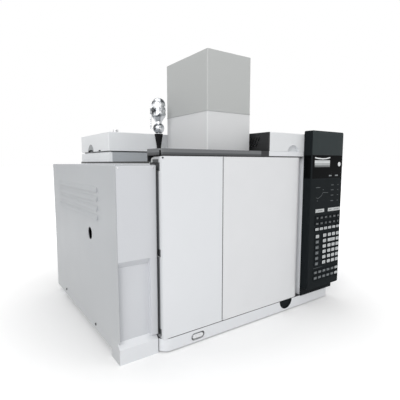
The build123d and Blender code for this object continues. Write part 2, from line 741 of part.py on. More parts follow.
def oven_fan():
    """Radial fan: hub, back plate and swept blades on the motor shaft."""
    y0 = BAFFLE_Y + LINER_T + FAN_CLEAR
    y1 = y0 + FAN_WIDTH
    fan = rod_y(y0 + 4, y1 + 2, OVEN_X, OVEN_ZC, FAN_HUB_R)
    fan = fillet(fan.faces().sort_by(Axis.Y)[0].edges(), 3)
    fan += rod_y(y1 - FAN_BLADE_T, y1, OVEN_X, OVEN_ZC, FAN_R)
    blade = fan_blade(FAN_HUB_R - 2, FAN_R - 1, 38.0, y0, y1 - FAN_BLADE_T / 2)
    for step in range(FAN_BLADES):
        fan += spin_y(blade, OVEN_X, OVEN_ZC, 360 / FAN_BLADES * step)
    return fan + rod_y(y1, motor_y0() + MOTOR_L - 6, OVEN_X, OVEN_ZC, FAN_SHAFT_R)


def fan_blade(r0, r1, sweep, y0, y1):
    """Curved blade between two radii; the tip trails the root by the sweep angle."""
    def at(radius, angle):
        return Vector(OVEN_X + radius * cos(radians(angle)), OVEN_ZC + radius * sin(radians(angle)))
    mid = (r0 + r1) / 2
    with BuildLine() as line:
        lead = ThreePointArc(at(r0, 0), at(mid, sweep * 0.32), at(r1, sweep))
        trail = ThreePointArc(at(r0, 360 * FAN_BLADE_T / (2 * pi * r0)),
                              at(mid, sweep * 0.32 + 360 * FAN_BLADE_T / (2 * pi * mid)),
                              at(r1, sweep + 360 * FAN_BLADE_T / (2 * pi * r1)))
        Line(lead @ 0, trail @ 0)
        Line(lead @ 1, trail @ 1)
    return plate_xz(make_face(line.line), y0, y1)


def motor_y0():
    return INSULATION_BACK_Y + 4


def fan_motor():
    y0 = motor_y0()
    half = MOTOR_FLANGE / 2
    motor = rounded_xz(OVEN_X - half, OVEN_X + half, OVEN_ZC - half, OVEN_ZC + half, 10, y0, y0 + 4)
    body = rod_y(y0 + 4, y0 + MOTOR_L, OVEN_X, OVEN_ZC, MOTOR_R)
    motor += fillet(body.faces().sort_by(Axis.Y)[-1].edges(), 6)
    for sx in (-1, 1):
        for sz in (-1, 1):
            motor += rod_y(INSULATION_BACK_Y, y0, OVEN_X + sx * (half - 9),
                           OVEN_ZC + sz * (half - 9), 4)
    return motor - rod_y(y0 - 1, y0 + MOTOR_L - 5, OVEN_X, OVEN_ZC, FAN_SHAFT_R + BORE_GAP)


def heater_coil():
    """Two sheathed element rings round the fan on four ceramic posts."""
    y_mid = (BAFFLE_Y + LINER_T + OVEN_BACK_Y) / 2
    heater = None
    for offset in (-7, 7):
        ring = ring_y(OVEN_X, OVEN_ZC, HEATER_RING_R, HEATER_WIRE_R, y_mid + offset)
        heater = ring if heater is None else heater + ring
    for step in range(4):
        post = rod_y(y_mid - 13, OVEN_BACK_Y, OVEN_X + HEATER_RING_R, OVEN_ZC, HEATER_WIRE_R + 1.8)
        heater += spin_y(post, OVEN_X, OVEN_ZC, 45 + 90 * step)
    return heater


def vent_flap(z, hinge_up):
    """Flap plate behind one oven vent, with its pivot tube along the hinged edge."""
    reach = VENT_H / 2 + FLAP_OVERLAP
    y0 = INSULATION_BACK_Y + SEAT_GAP
    pivot_y, pivot_z = flap_pivot(z, hinge_up)
    half_w = VENT_W / 2 + FLAP_OVERLAP
    z_far = z - hinge_up * reach
    plate = block(VENT_X - half_w, VENT_X + half_w, y0, y0 + FLAP_T,
                  min(z_far, pivot_z), max(z_far, pivot_z))
    tube = rod_x(VENT_X - half_w, VENT_X + half_w, pivot_y, pivot_z, FLAP_PIN_R)
    pins = rod_x(VENT_X - half_w - 8, VENT_X + half_w + 8, pivot_y, pivot_z, FLAP_PIN_R - 0.7)
    return plate + tube + pins


def flap_pivot(z, hinge_up):
    return (INSULATION_BACK_Y + SEAT_GAP + FLAP_PIN_R,
            z + hinge_up * (VENT_H / 2 + FLAP_OVERLAP + FLAP_PIN_R))


def vent_frames():
    """Bearing ears of both flaps, bolted to the back of the oven."""
    frames = []
    for z, hinge_up in ((VENT_Z[0], 1), (VENT_Z[1], 1)):
        pivot_y, pivot_z = flap_pivot(z, hinge_up)
        half_w = VENT_W / 2 + FLAP_OVERLAP
        for side in (-1, 1):
            x0 = VENT_X + side * (half_w + 2.5)
            x1 = x0 + side * 4
            ear = block(min(x0, x1), max(x0, x1), INSULATION_BACK_Y, pivot_y + 5,
                        pivot_z - 7, pivot_z + 7)
            ear -= rod_x(min(x0, x1) - 1, max(x0, x1) + 1, pivot_y, pivot_z,
                         FLAP_PIN_R - 0.7 + BORE_GAP)
            frames.append(ear)
    return Compound(children=frames)


# ---------------------------------------------------------------- ports on the deck
def port_body(x, y, top_z):
    """One heated port: body on the deck, stem through the roof, column nut in the oven."""
    stem_r = INLET_R - 3
    flange_z = DECK_Z + SEAT_GAP
    body = rod_z(flange_z, top_z, x, y, INLET_R + INLET_FLANGE)
    body = fillet(body.faces().sort_by(Axis.Z)[-1].edges(), 1.5)
    body += rod_z(OVEN_Z1 - 6, flange_z, x, y, stem_r)
    nut = Pos(x, y, OVEN_Z1 - 10) * extrude(RegularPolygon(COLUMN_NUT_R + 2, 6), amount=5)
    return body + nut - rod_z(OVEN_Z1 - 30, top_z + 1, x, y, 1.0)


def inlet_ports():
    front_x, front_y, radius = deck_ports()[0]
    back_x, back_y, radius = deck_ports()[1]
    return Compound(children=[port_body(front_x, front_y, INLET_TOP_Z),
                              port_body(back_x, back_y, INLET_TOP_Z)])


def septum_nuts():
    """Knurled nuts screwed on both ports."""
    nuts = []
    for x, y, radius in deck_ports()[:2]:
        nut = rod_z(INLET_TOP_Z, INLET_TOP_Z + SEPTUM_NUT_H, x, y, SEPTUM_NUT_R)
        nut = chamfer(nut.faces().sort_by(Axis.Z)[-1].edges(), 1.2)
        for step in range(12):
            angle = radians(30 * step)
            nut -= rod_z(INLET_TOP_Z - 1, INLET_TOP_Z + SEPTUM_NUT_H + 1,
                         x + SEPTUM_NUT_R * cos(angle), y + SEPTUM_NUT_R * sin(angle), 1.2)
        nuts.append(nut - rod_z(INLET_TOP_Z - 1, INLET_TOP_Z + SEPTUM_NUT_H + 1, x, y, 1.0))
    return Compound(children=nuts)


# ---------------------------------------------------------------- detector tower
def detector_burner():
    """Heated detector base with a ceramic burner tube inside the tower."""
    x, y = tower_x(), tower_port_y()
    half_w = BURNER_BASE_W / 2
    half_d = BURNER_BASE_D / 2
    shoulder_z = TOWER_TOP_Z - BURNER_DROP
    body = block(x - half_w, x + half_w, y - half_d, y + half_d, DECK_Z, DECK_Z + BURNER_BASE_H)
    body = fillet(body.edges().filter_by(Axis.Z), 4)
    body += rod_z(OVEN_Z1 - 6, DECK_Z, x, y, INLET_R - 3)
    body += rod_z(DECK_Z + BURNER_BASE_H, shoulder_z, x, y, BURNER_R)
    body += rod_z(shoulder_z, shoulder_z + BURNER_TIP_H, x, y, BURNER_TIP_R)
    return body


def tower_shell(z0, z1, inset):
    shell = block(TOWER_X0 + inset, TOWER_X1 - inset, TOWER_Y0 + inset, TOWER_Y1 - inset, z0, z1)
    return fillet(shell.edges().filter_by(Axis.Z), max(TOWER_CORNER_R - inset, 0.6))


def tower_cover():
    """Tall sheet cover, open below, with vent slots high in its rear wall."""
    cover = tower_shell(DECK_Z, TOWER_TOP_Z, 0)
    cover = fillet(cover.faces().sort_by(Axis.Z)[-1].edges(), TOWER_CORNER_R * 0.6)
    cover -= tower_shell(DECK_Z - 1, TOWER_TOP_Z - TOWER_SHEET, TOWER_SHEET)
    for row in range(TOWER_VENT_ROWS):
        z = TOWER_TOP_Z - 40 - row * TOWER_VENT_PITCH
        cover -= block(TOWER_X0 + TOWER_VENT_IN, TOWER_X1 - TOWER_VENT_IN, TOWER_Y1 - 5, TOWER_Y1 + 5,
                       z - TOWER_VENT_H / 2, z + TOWER_VENT_H / 2)
    return cover


# ---------------------------------------------------------------- vent trap
def turned_part(outline):
    """Solid of revolution about the back port from a closed outline of radius and height."""
    with BuildPart() as part:
        with BuildSketch(Plane.XZ):
            add(outline)
        revolve(axis=Axis.Z)
    return Pos(BACK_PORT_X, BACK_PORT_Y, 0) * part.part


def vent_trap():
    """Canister with a domed cap, a ribbed body, a cone, a bulb and the stem in its boot."""
    bulb_z1 = TRAP_Z0 + TRAP_BULB_H
    body_z0 = bulb_z1 + TRAP_CONE_H
    body_z1 = body_z0 + TRAP_BODY_H
    cap_z0 = body_z1 + TRAP_GROOVE_H
    cap_z1 = cap_z0 + TRAP_CAP_H
    top_z = cap_z1 + TRAP_DOME_H
    bulb_z = (TRAP_Z0 + bulb_z1) / 2
    bulb_half = sqrt(TRAP_BULB_R ** 2 - TRAP_NECK_R ** 2)
    dome_r = (TRAP_R ** 2 + TRAP_DOME_H ** 2) / (2 * TRAP_DOME_H)
    dome_mid = dome_r * sin(radians(45))
    with BuildLine() as line:
        Polyline((0, TRAP_Z0 - TRAP_STEM_L), (TRAP_NECK_R, TRAP_Z0 - TRAP_STEM_L),
                 (TRAP_NECK_R, bulb_z - bulb_half))
        ThreePointArc((TRAP_NECK_R, bulb_z - bulb_half), (TRAP_BULB_R, bulb_z),
                      (TRAP_NECK_R, bulb_z + bulb_half))
        Polyline((TRAP_NECK_R, bulb_z + bulb_half), (TRAP_NECK_R, bulb_z1 + 2), (TRAP_R, body_z0),
                 (TRAP_R, body_z1), (TRAP_GROOVE_R, body_z1), (TRAP_GROOVE_R, cap_z0), (TRAP_R, cap_z0),
                 (TRAP_R, cap_z1))
        ThreePointArc((TRAP_R, cap_z1), (dome_mid, top_z - dome_r + dome_mid), (0, top_z))
        Line((0, top_z), (0, TRAP_Z0 - TRAP_STEM_L))
    trap = turned_part(make_face(line.line))
    x, y = BACK_PORT_X, BACK_PORT_Y
    for share in (0.25, 0.7):
        rib_z = body_z0 + TRAP_BODY_H * share
        rib = rod_z(rib_z - TRAP_RIB_H / 2, rib_z + TRAP_RIB_H / 2, x, y, TRAP_R + TRAP_RIB)
        trap += fillet(rib.edges(), TRAP_RIB * 0.9)
    return trap + vent_tube()


def vent_tube():
    """Thin open tube that leaves the bulb and stands beside the canister."""
    x, y = BACK_PORT_X - VENT_TUBE_DX, BACK_PORT_Y + VENT_TUBE_DY
    z0 = TRAP_Z0 + TRAP_BULB_H / 2
    reach = sqrt(VENT_TUBE_DX ** 2 + VENT_TUBE_DY ** 2)
    arm = rod_x(BACK_PORT_X - reach, BACK_PORT_X - TRAP_NECK_R, BACK_PORT_Y, z0, VENT_TUBE_R * 0.8)
    angle = degrees(acos(VENT_TUBE_DX / reach))
    arm = arm.rotate(Axis((BACK_PORT_X, BACK_PORT_Y, 0), (0, 0, 1)), -angle)
    return arm + rod_z(z0 - VENT_TUBE_R, z0 + VENT_TUBE_L, x, y, VENT_TUBE_R)


def trap_boot():
    """Rubber boot that carries the trap and narrows down to the back port's nut."""
    seat_z = INLET_TOP_Z + SEPTUM_NUT_H
    socket_z = TRAP_Z0 - TRAP_STEM_L
    with BuildLine() as line:
        Polyline((0, seat_z), (SEPTUM_NUT_R - 1.2, seat_z), (BOOT_WAIST_R, BOOT_WAIST_Z0),
                 (BOOT_WAIST_R, BOOT_WAIST_Z1), (BOOT_TOP_R, TRAP_Z0), (TRAP_NECK_R, TRAP_Z0),
                 (TRAP_NECK_R, socket_z), (0, socket_z), (0, seat_z))
    return turned_part(make_face(line.line))


# ---------------------------------------------------------------- heated valve box
def valve_box_base():
    """Outer tray, and the inner insulated box that the lid fits over."""
    x1 = VALVE_W
    tray = block(0, x1, VALVE_Y0, VALVE_Y1, DECK_Z, VALVE_SPLIT_Z)
    rim = VALVE_INSET
    inner_top = VALVE_LID_Z1 - VALVE_SHEET - SEAT_GAP
    tray += block(rim, x1 - rim, VALVE_Y0 + rim, VALVE_Y1 - rim, DECK_Z, inner_top)
    wall = rim + 6
    tray -= block(wall, x1 - wall, VALVE_Y0 + wall, VALVE_Y1 - wall, DECK_Z + 4, inner_top + 1)
    tray += block(rim, THUMB_X + 8, VALVE_Y0 + rim, THUMB_Y + 8, DECK_Z, inner_top)
    tray -= block(-1, VALVE_SEAM_D, VALVE_SEAM_Y - VALVE_SEAM_W / 2, VALVE_SEAM_Y + VALVE_SEAM_W / 2,
                  DECK_Z - 1, VALVE_SPLIT_Z + 1)
    return tray - rod_z(thumb_tip_z() - 2, inner_top + 1, THUMB_X, THUMB_Y, THUMB_SHANK_R + BORE_GAP)


def thumb_tip_z():
    return VALVE_LID_Z1 - THUMB_SHANK_L


def valve_box_lid():
    lid = block(0, VALVE_W, VALVE_Y0, VALVE_Y1, VALVE_LID_Z0, VALVE_LID_Z1)
    lid = fillet(lid.edges().filter_by(Axis.Z), 2)
    lid = fillet(lid.faces().sort_by(Axis.Z)[-1].edges(), 1.5)
    lid -= block(VALVE_SHEET, VALVE_W - VALVE_SHEET, VALVE_Y0 + VALVE_SHEET, VALVE_Y1 - VALVE_SHEET,
                 VALVE_LID_Z0 - 1, VALVE_LID_Z1 - VALVE_SHEET)
    lid -= rod_x(-1, VALVE_SHEET + 1, VALVE_ARCH_Y, VALVE_LID_Z0, VALVE_ARCH_R)
    return lid - rod_z(VALVE_LID_Z1 - 5, VALVE_LID_Z1 + 5, THUMB_X, THUMB_Y, THUMB_SHANK_R + 0.3)


def lid_thumbscrew():
    z0 = VALVE_LID_Z1 + SEAT_GAP
    head = rod_z(z0, z0 + THUMB_HEAD_H, THUMB_X, THUMB_Y, THUMB_HEAD_R)
    for step in range(10):
        angle = radians(36 * step)
        head -= rod_z(z0 + 1.5, z0 + THUMB_HEAD_H + 1, THUMB_X + THUMB_HEAD_R * cos(angle),
                      THUMB_Y + THUMB_HEAD_R * sin(angle), 1.3)
    return head + rod_z(thumb_tip_z(), z0, THUMB_X, THUMB_Y, THUMB_SHANK_R)


def valve_centre():
    return (VALVE_W / 2, VALVE_Y0 + VALVE_D / 2)


def sample_valve():
    """Rotary valve body with six radial port fittings and its sample loop."""
    x, y = valve_centre()
    z0 = DECK_Z + 4
    port_z = z0 + SAMPLE_PORT_Z
    body = rod_z(z0, z0 + SAMPLE_VALVE_H, x, y, SAMPLE_VALVE_R)
    body = chamfer(body.faces().sort_by(Axis.Z)[-1].edges(), 2)
    port_end = x + SAMPLE_VALVE_R + SAMPLE_PORT_L
    for step in range(6):
        port = rod_x(x + SAMPLE_VALVE_R - 2, port_end, y, port_z, SAMPLE_PORT_R)
        body += port.rotate(Axis((x, y, 0), (0, 0, 1)), 60 * step)
    body += Pos(port_end - LOOP_TUBE_R / 2 + LOOP_R, y, port_z) * Torus(LOOP_R, LOOP_TUBE_R)
    return body - rod_z(z0 + 4, z0 + SAMPLE_VALVE_H + 1, x, y, ROTOR_SHAFT_R + BORE_GAP)


def valve_rotor():
    """Rotor hub with its actuator lever on top of the valve body."""
    x, y = valve_centre()
    z0 = DECK_Z + 4 + SAMPLE_VALVE_H + SEAT_GAP
    rotor = rod_z(z0, z0 + ROTOR_H, x, y, ROTOR_R)
    rotor = chamfer(rotor.faces().sort_by(Axis.Z)[-1].edges(), 1.5)
    rotor += block(x - LEVER_L, x, y - LEVER_W / 2, y + LEVER_W / 2, z0 + 2, z0 + 7)
    rotor += rod_z(z0 + 2, z0 + 7, x - LEVER_L, y, LEVER_END_R)
    return rotor + rod_z(z0 - ROTOR_SHAFT_L, z0, x, y, ROTOR_SHAFT_R)


# ---------------------------------------------------------------- electronics cover
def finger_radius():
    half = FINGER_W / 2
    return (half ** 2 + FINGER_H ** 2) / (2 * FINGER_H)


def finger_rod(y0, y1, grow):
    """Rod whose top makes the crescent grip along the cover's lower front edge."""
    return rod_y(y0, y1, FINGER_X, COVER_Z0 + FINGER_H - finger_radius(), finger_radius() + grow)


def electronics_cover():
    """Hinged lid: front, top, two sides and rear flange, with hinge eyes at the back."""
    t = COVER_SHEET
    lid = block(COVER_X0, MAIN_W, 0, MAIN_D, COVER_Z0, COVER_TOP_Z)
    lid = fillet(lid.edges().filter_by(Axis.Z).sort_by(
        lambda e: e.center().X + e.center().Y)[0], 3)
    lid = fillet(lid.faces().sort_by(Axis.Z)[-1].edges(), 2)
    lid -= block(COVER_X0 + t, MAIN_W - t, t, MAIN_D - t, COVER_Z0 - 1, COVER_TOP_Z - t)
    lid -= block(PANEL_X0 - 1, MAIN_W + 1, -1, COVER_SETBACK, COVER_Z0 - 1, COVER_TOP_Z + 1)
    lid += block(PANEL_X0 - 1 - t, MAIN_W - 0.5, COVER_SETBACK, COVER_SETBACK + t,
                 COVER_Z0, COVER_TOP_Z - t / 2)
    lid -= block(COVER_X0 - 1, MAIN_W + 1, COVER_PIN_Y - 2, MAIN_D + 1, COVER_Z0 - 1, COVER_PIN_Z)
    scoop = finger_rod(t, FINGER_D, t) - finger_rod(0, FINGER_D - t, 0)
    scoop &= block(COVER_X0 + t, PANEL_X0 - 2, t / 2, FINGER_D, COVER_Z0, COVER_TOP_Z - t / 2)
    lid = lid - finger_rod(-1, FINGER_D - 3, 0) + scoop
    for row in range(VENT_SLOTS):
        slot_y = VENT_SLOT_Y + row * VENT_SLOT_PITCH
        slot = Rot(28, 0, 0) * Box(3 * t, VENT_SLOT_W, VENT_SLOT_H)
        lid -= Pos(COVER_X0, slot_y, (COVER_Z0 + COVER_TOP_Z) / 2) * slot
    for x0, side in cover_ear_places():
        eye_x0 = x0 + COVER_EAR_T + 0.5 if side > 0 else x0 - 0.5 - COVER_EYE_W
        eye_x1 = eye_x0 + COVER_EYE_W
        eye = rod_x(eye_x0, eye_x1, COVER_PIN_Y, COVER_PIN_Z, COVER_EYE_R)
        eye += block(eye_x0, eye_x1, COVER_PIN_Y - 3, COVER_PIN_Y + 3, COVER_PIN_Z, COVER_TOP_Z - t)
        lid += eye - rod_x(eye_x0 - 1, eye_x1 + 1, COVER_PIN_Y, COVER_PIN_Z, COVER_PIN_R + BORE_GAP)
    return lid


# ---------------------------------------------------------------- electronics
def main_board():
    """Main circuit board on its stand-offs along the right side."""
    x1 = MAIN_W - SHEET - BOARD_GAP
    face_x = x1 - BOARD_T
    y0, z0 = BOARD_Y0, BOARD_Z0
    board = block(face_x, x1, y0, y0 + BOARD_D, z0, z0 + BOARD_H)
    # middle, width and height as shares of the board, thickness in board thicknesses
    for y, z, w, h, t in ((0.19, 0.18, 0.15, 0.12, 2.5), (0.19, 0.41, 0.19, 0.09, 7.5),
                          (0.62, 0.21, 0.11, 0.24, 5.0), (0.54, 0.59, 0.35, 0.07, 6.2),
                          (0.19, 0.76, 0.23, 0.11, 3.1), (0.69, 0.85, 0.15, 0.12, 8.7)):
        board += block(face_x - t * BOARD_T, face_x, y0 + (y - w / 2) * BOARD_D, y0 + (y + w / 2) * BOARD_D,
                       z0 + (z - h / 2) * BOARD_H, z0 + (z + h / 2) * BOARD_H)
    for y in (y0 + BOARD_POST_IN, y0 + BOARD_D - BOARD_POST_IN):
        for z in (z0 + BOARD_POST_IN, z0 + BOARD_H - BOARD_POST_IN):
            board += rod_x(x1, MAIN_W - SHEET, y, z, BOARD_POST_R)
    return board


def power_supply():
    """Folded power supply case with a toroidal transformer, on the floor of the bay."""
    x0 = BAY_X0 + SHEET + PSU_SIDE_GAP
    x1 = x0 + PSU_W
    y1 = REAR_Y - PSU_REAR_GAP
    y0 = y1 - PSU_D
    w = PSU_WALL
    floor_z = PAN_FLOOR_Z + w
    case = block(x0, x1, y0, y1, PAN_FLOOR_Z, PAN_FLOOR_Z + PSU_H)
    case = fillet(case.edges().filter_by(Axis.Z), w)
    case -= block(x0 + w, x1 - w, y0 + w, y1 - w, floor_z, PAN_FLOOR_Z + PSU_H + 1)
    toroid_y = y0 + w + TOROID_R + w
    case += rod_z(PAN_FLOOR_Z + w / 2, floor_z + TOROID_H, (x0 + x1) / 2, toroid_y, TOROID_R)
    case -= rod_z(floor_z, floor_z + TOROID_H + 1, (x0 + x1) / 2, toroid_y, TOROID_HOLE_R)
    bank_y0 = toroid_y + TOROID_R + 4 * w
    bank_z1 = floor_z + 0.8 * TOROID_H
    return case + block(x0 + 4 * w, x1 - 4 * w, bank_y0, y1 - 4 * w, PAN_FLOOR_Z + w / 2, bank_z1)


def epc_modules():
    """Pneumatics modules side by side under the cover, on the deck."""
    modules = []
    y1 = REAR_Y - EPC_REAR_GAP
    y0 = y1 - EPC_D
    top_z = DECK_Z + EPC_H
    for index in range(EPC_COUNT):
        x0 = COVER_X0 + EPC_IN + index * EPC_PITCH
        module = block(x0, x0 + EPC_W, y0, y1, DECK_Z, top_z)
        module = fillet(module.edges().filter_by(Axis.Y), 2)
        for port in range(4):
            y = y0 + EPC_D * (0.13 + 0.235 * port)
            module += rod_z(top_z - 1, top_z + EPC_PORT_H, x0 + EPC_W / 2, y, EPC_PORT_R)
        modules.append(module)
    return Compound(children=modules)


# ---------------------------------------------------------------- control panel
def big_keys():
    """Name and span of each large key in the row above the keypad."""
    places = {"key_stop": (KEY_STOP_IN, KEY_STOP_W), "key_prep_run": (KEY_PREP_IN, KEY_PREP_W),
              "key_start": (KEY_START_IN, KEY_START_W)}
    return {name: (PANEL_X0 + x, PANEL_X0 + x + width) for name, (x, width) in places.items()}


def control_panel_housing():
    """Hollow panel with its apertures, the key carrier and the plinth below it."""
    body = block(PANEL_X0, PANEL_X1, PANEL_Y, 0, PANEL_Z0, PANEL_Z1)
    body = fillet(body.edges().filter_by(Axis.Y), PANEL_R)
    body = fillet(body.faces().sort_by(Axis.Y)[0].edges(), 2.0)
    body -= block(PANEL_X0 + PANEL_WALL, PANEL_X1 - PANEL_WALL, PANEL_Y + PANEL_WALL, 1,
                  PANEL_Z0 + PANEL_WALL, PANEL_Z1 - PANEL_WALL)
    body -= block(PANEL_X0 + WINDOW_EDGE, PANEL_X1 - WINDOW_EDGE, PANEL_Y - 1, PANEL_Y + PANEL_WALL + 1,
                  WINDOW_Z0, WINDOW_Z1)
    body -= block(MAT_X0, MAT_X1, PANEL_Y - 1, PANEL_Y + PANEL_WALL + 1, MAT_Z0, MAT_Z1)
    for x0, x1 in big_keys().values():
        body -= block(x0 - KEY_GAP, x1 + KEY_GAP, PANEL_Y - 1, PANEL_Y + PANEL_WALL + 1,
                      BIG_KEY_Z - BIG_KEY_H / 2 - KEY_GAP, BIG_KEY_Z + BIG_KEY_H / 2 + KEY_GAP)
    body += block(PANEL_X0, MAIN_W, -PLINTH_PROUD, 0, BASE_H, PANEL_Z0 + PANEL_WALL / 2)
    return body + key_carrier()


def key_carrier_y():
    return PANEL_Y + PANEL_WALL + KEY_BODY_T


def key_carrier():
    """Board behind the panel face that guides the key stems."""
    y0 = key_carrier_y()
    y1 = y0 + CARRIER_T
    plate = block(PANEL_X0 + PANEL_WALL, PANEL_X1 - PANEL_WALL, y0, y1,
                  MAT_Z0 - CARRIER_EDGE, BIG_KEY_Z + BIG_KEY_H / 2 + CARRIER_EDGE)
    for x0, x1 in big_keys().values():
        plate -= rod_y(y0 - 1, y1 + 1, (x0 + x1) / 2, BIG_KEY_Z, KEY_STEM_R + BORE_GAP)
    return plate


def display_window():
    window = block(PANEL_X0 + WINDOW_EDGE, PANEL_X1 - WINDOW_EDGE, PANEL_Y, PANEL_Y + WINDOW_T,
                   WINDOW_Z0, WINDOW_Z1)
    for x0, x1 in LED_SPANS:
        window -= block(x0, x1, PANEL_Y - 1, PANEL_Y + WINDOW_T + 1, LED_Z - LED_H / 2, LED_Z + LED_H / 2)
    return window


def display_module():
    """Character display with its board behind the window."""
    y0 = PANEL_Y + WINDOW_T
    module = block(LCD_X0, LCD_X1, y0, y0 + LCD_T, LCD_Z0, LCD_Z1)
    edge = LCD_BOARD_EDGE
    return module + block(LCD_X0 - edge, LCD_X1 + edge, y0 + LCD_T, y0 + LCD_T + LCD_BOARD_T,
                          LCD_Z0 - edge, LCD_Z1 + edge)


def status_leds():
    lenses = []
    for x0, x1 in LED_SPANS:
        lenses.append(block(x0, x1, PANEL_Y - LED_PROUD, PANEL_Y + WINDOW_T + PANEL_WALL,
                            LED_Z - LED_H / 2, LED_Z + LED_H / 2))
    return Compound(children=lenses)


def key_columns():
    """Six equal columns, and the five columns of the number field."""
    six = [PANEL_X0 + KEY_COL_IN + index * KEY_COL_PITCH for index in range(6)]
    return six, [PANEL_X0 + FN_COL_A_IN, PANEL_X0 + FN_COL_B_IN] + six[3:]


def keypad_keys():
    """Centre, width and height of every key moulded into the keypad mat."""
    keys = []
    six, five = key_columns()
    for row in range(3):
        keys += [(x, UPPER_ROW_Z - row * KEY_ROW_PITCH, KEY_W, KEY_H) for x in six]
    for row in range(6):
        z = NUM_ROW_Z - row * NUM_ROW_PITCH
        for column, x in enumerate(five):
            if row == 1 and column == 3:
                continue
            if row == 1 and column == 2:
                keys.append(((x + five[3]) / 2, z, KEY_W + five[3] - x, NUM_KEY_H))
                continue
            keys.append((x, z, KEY_W, NUM_KEY_H))
    for row in range(2):
        keys += [(x, LOWER_ROW_Z - row * KEY_ROW_PITCH, KEY_W, KEY_H) for x in six]
    return keys


def keypad_mat():
    """One moulded mat in the panel's aperture, with a raised key for each function."""
    y0 = PANEL_Y + MAT_BACK
    edge = MAT_PAD_EDGE
    mat = block(MAT_X0, MAT_X1, y0, y0 + MAT_T, MAT_Z0, MAT_Z1)
    mat += block(MAT_X0 + edge, MAT_X1 - edge, y0 + MAT_T, key_carrier_y(), MAT_Z0 + edge, MAT_Z1 - edge)
    for x, z, width, height in keypad_keys():
        mat += block(x - width / 2, x + width / 2, PANEL_Y - KEY_PROUD, y0 + 0.2,
                     z - height / 2, z + height / 2)
    return mat


def big_key(x0, x1):
    """Large key: cap with softened edges, and a stem through the carrier."""
    z0 = BIG_KEY_Z - BIG_KEY_H / 2
    z1 = BIG_KEY_Z + BIG_KEY_H / 2
    cap = block(x0, x1, PANEL_Y - KEY_PROUD, PANEL_Y + PANEL_WALL, z0, z1)
    cap = fillet(cap.faces().sort_by(Axis.Y)[0].edges(), 0.8)
    stem_y1 = key_carrier_y() + CARRIER_T + 3 * KEY_TRAVEL
    return cap + rod_y(PANEL_Y + PANEL_WALL, stem_y1, (x0 + x1) / 2, BIG_KEY_Z, KEY_STEM_R)


# ---------------------------------------------------------------- left accessory cabinet
def side_cabinet_shell():
    """Folded cabinet: top, both sides and rear, open at the front and below."""
    t = SHEET
    shell = block(CAB_X0, CAB_X1, CAB_Y0, CAB_Y1, CAB_EDGE_Z, CAB_TOP_Z)
    shell = fillet(shell.edges().filter_by(Axis.Y).group_by(Axis.Z)[-1], 2.5)
    shell -= block(CAB_X0 + t, CAB_X1 - t, CAB_Y0 - 1, CAB_Y1 - t, CAB_EDGE_Z - 1, CAB_TOP_Z - t)
    shell -= block(CAB_X0 - 1, CAB_X1 + 1, CAB_Y0 - 1, CAB_Y0 + CAB_FOOT_D, 0, CAB_SILL_Z + CAB_RECESS)
    for index in range(LOUVRE_COUNT):
        z = LOUVRE_Z + index * LOUVRE_PITCH
        shell -= block(CAB_X0 - 1, CAB_X0 + t + 1, LOUVRE_Y0 + LOUVRE_T, LOUVRE_Y1 - LOUVRE_T,
                       z - LOUVRE_H / 2, z + LOUVRE_H / 4)
        shell += louvre_hood(z)
    shell -= rod_x(CAB_X0 - 1, CAB_X0 + t + 1, CAB_HOLE_Y, CAB_HOLE_Z, CAB_HOLE_R)
    for y in (LOUVRE_Y0, LOUVRE_Y1):
        for z in (BASE_H + 40, CAB_TOP_Z - 60):
            shell += rod_x(CAB_X1 - t / 2, 0, y, z, CAB_SPACER_R)
    for radius in (12, 20, 28, 35):
        ring = rod_y(CAB_Y1 - t - 1, CAB_Y1 + 1, CAB_XC, COOLER_Z, radius + 2.2)
        ring -= rod_y(CAB_Y1 - t - 2, CAB_Y1 + 2, CAB_XC, COOLER_Z, radius - 2.2)
        bars = block(CAB_XC - 2, CAB_XC + 2, CAB_Y1 - 4, CAB_Y1 + 4, COOLER_Z - 50, COOLER_Z + 50)
        bars += block(CAB_XC - 50, CAB_XC + 50, CAB_Y1 - 4, CAB_Y1 + 4, COOLER_Z - 2, COOLER_Z + 2)
        shell -= ring - bars
    return shell


def louvre_hood(z):
    """Rounded hood pressed out from the side, open along its lower edge and closed at its ends."""
    x0, x1 = CAB_X0, CAB_X0 + SHEET
    top = z + LOUVRE_H / 2
    low = z - LOUVRE_H / 2
    slot_top = z + LOUVRE_H / 4
    lip = x0 - LOUVRE_PROUD
    outer = ThreePointArc((x0, top), (x0 - 0.75 * LOUVRE_PROUD, z), (lip, low))
    inner = ThreePointArc((lip + LOUVRE_T, low), (lip + 1.55 * LOUVRE_T, z - LOUVRE_H / 8), (x0, slot_top))
    rim = Polyline((x0, slot_top), (x1, slot_top), (x1, top), (x0, top))
    hood = make_face([outer, Line((lip, low), (lip + LOUVRE_T, low)), inner, rim])
    end = make_face([outer, Polyline((lip, low), (x1, low), (x1, top), (x0, top))])
    solid = plate_xz(hood, LOUVRE_Y0, LOUVRE_Y1)
    solid += plate_xz(end, LOUVRE_Y0, LOUVRE_Y0 + LOUVRE_T)
    return solid + plate_xz(end, LOUVRE_Y1 - LOUVRE_T, LOUVRE_Y1)


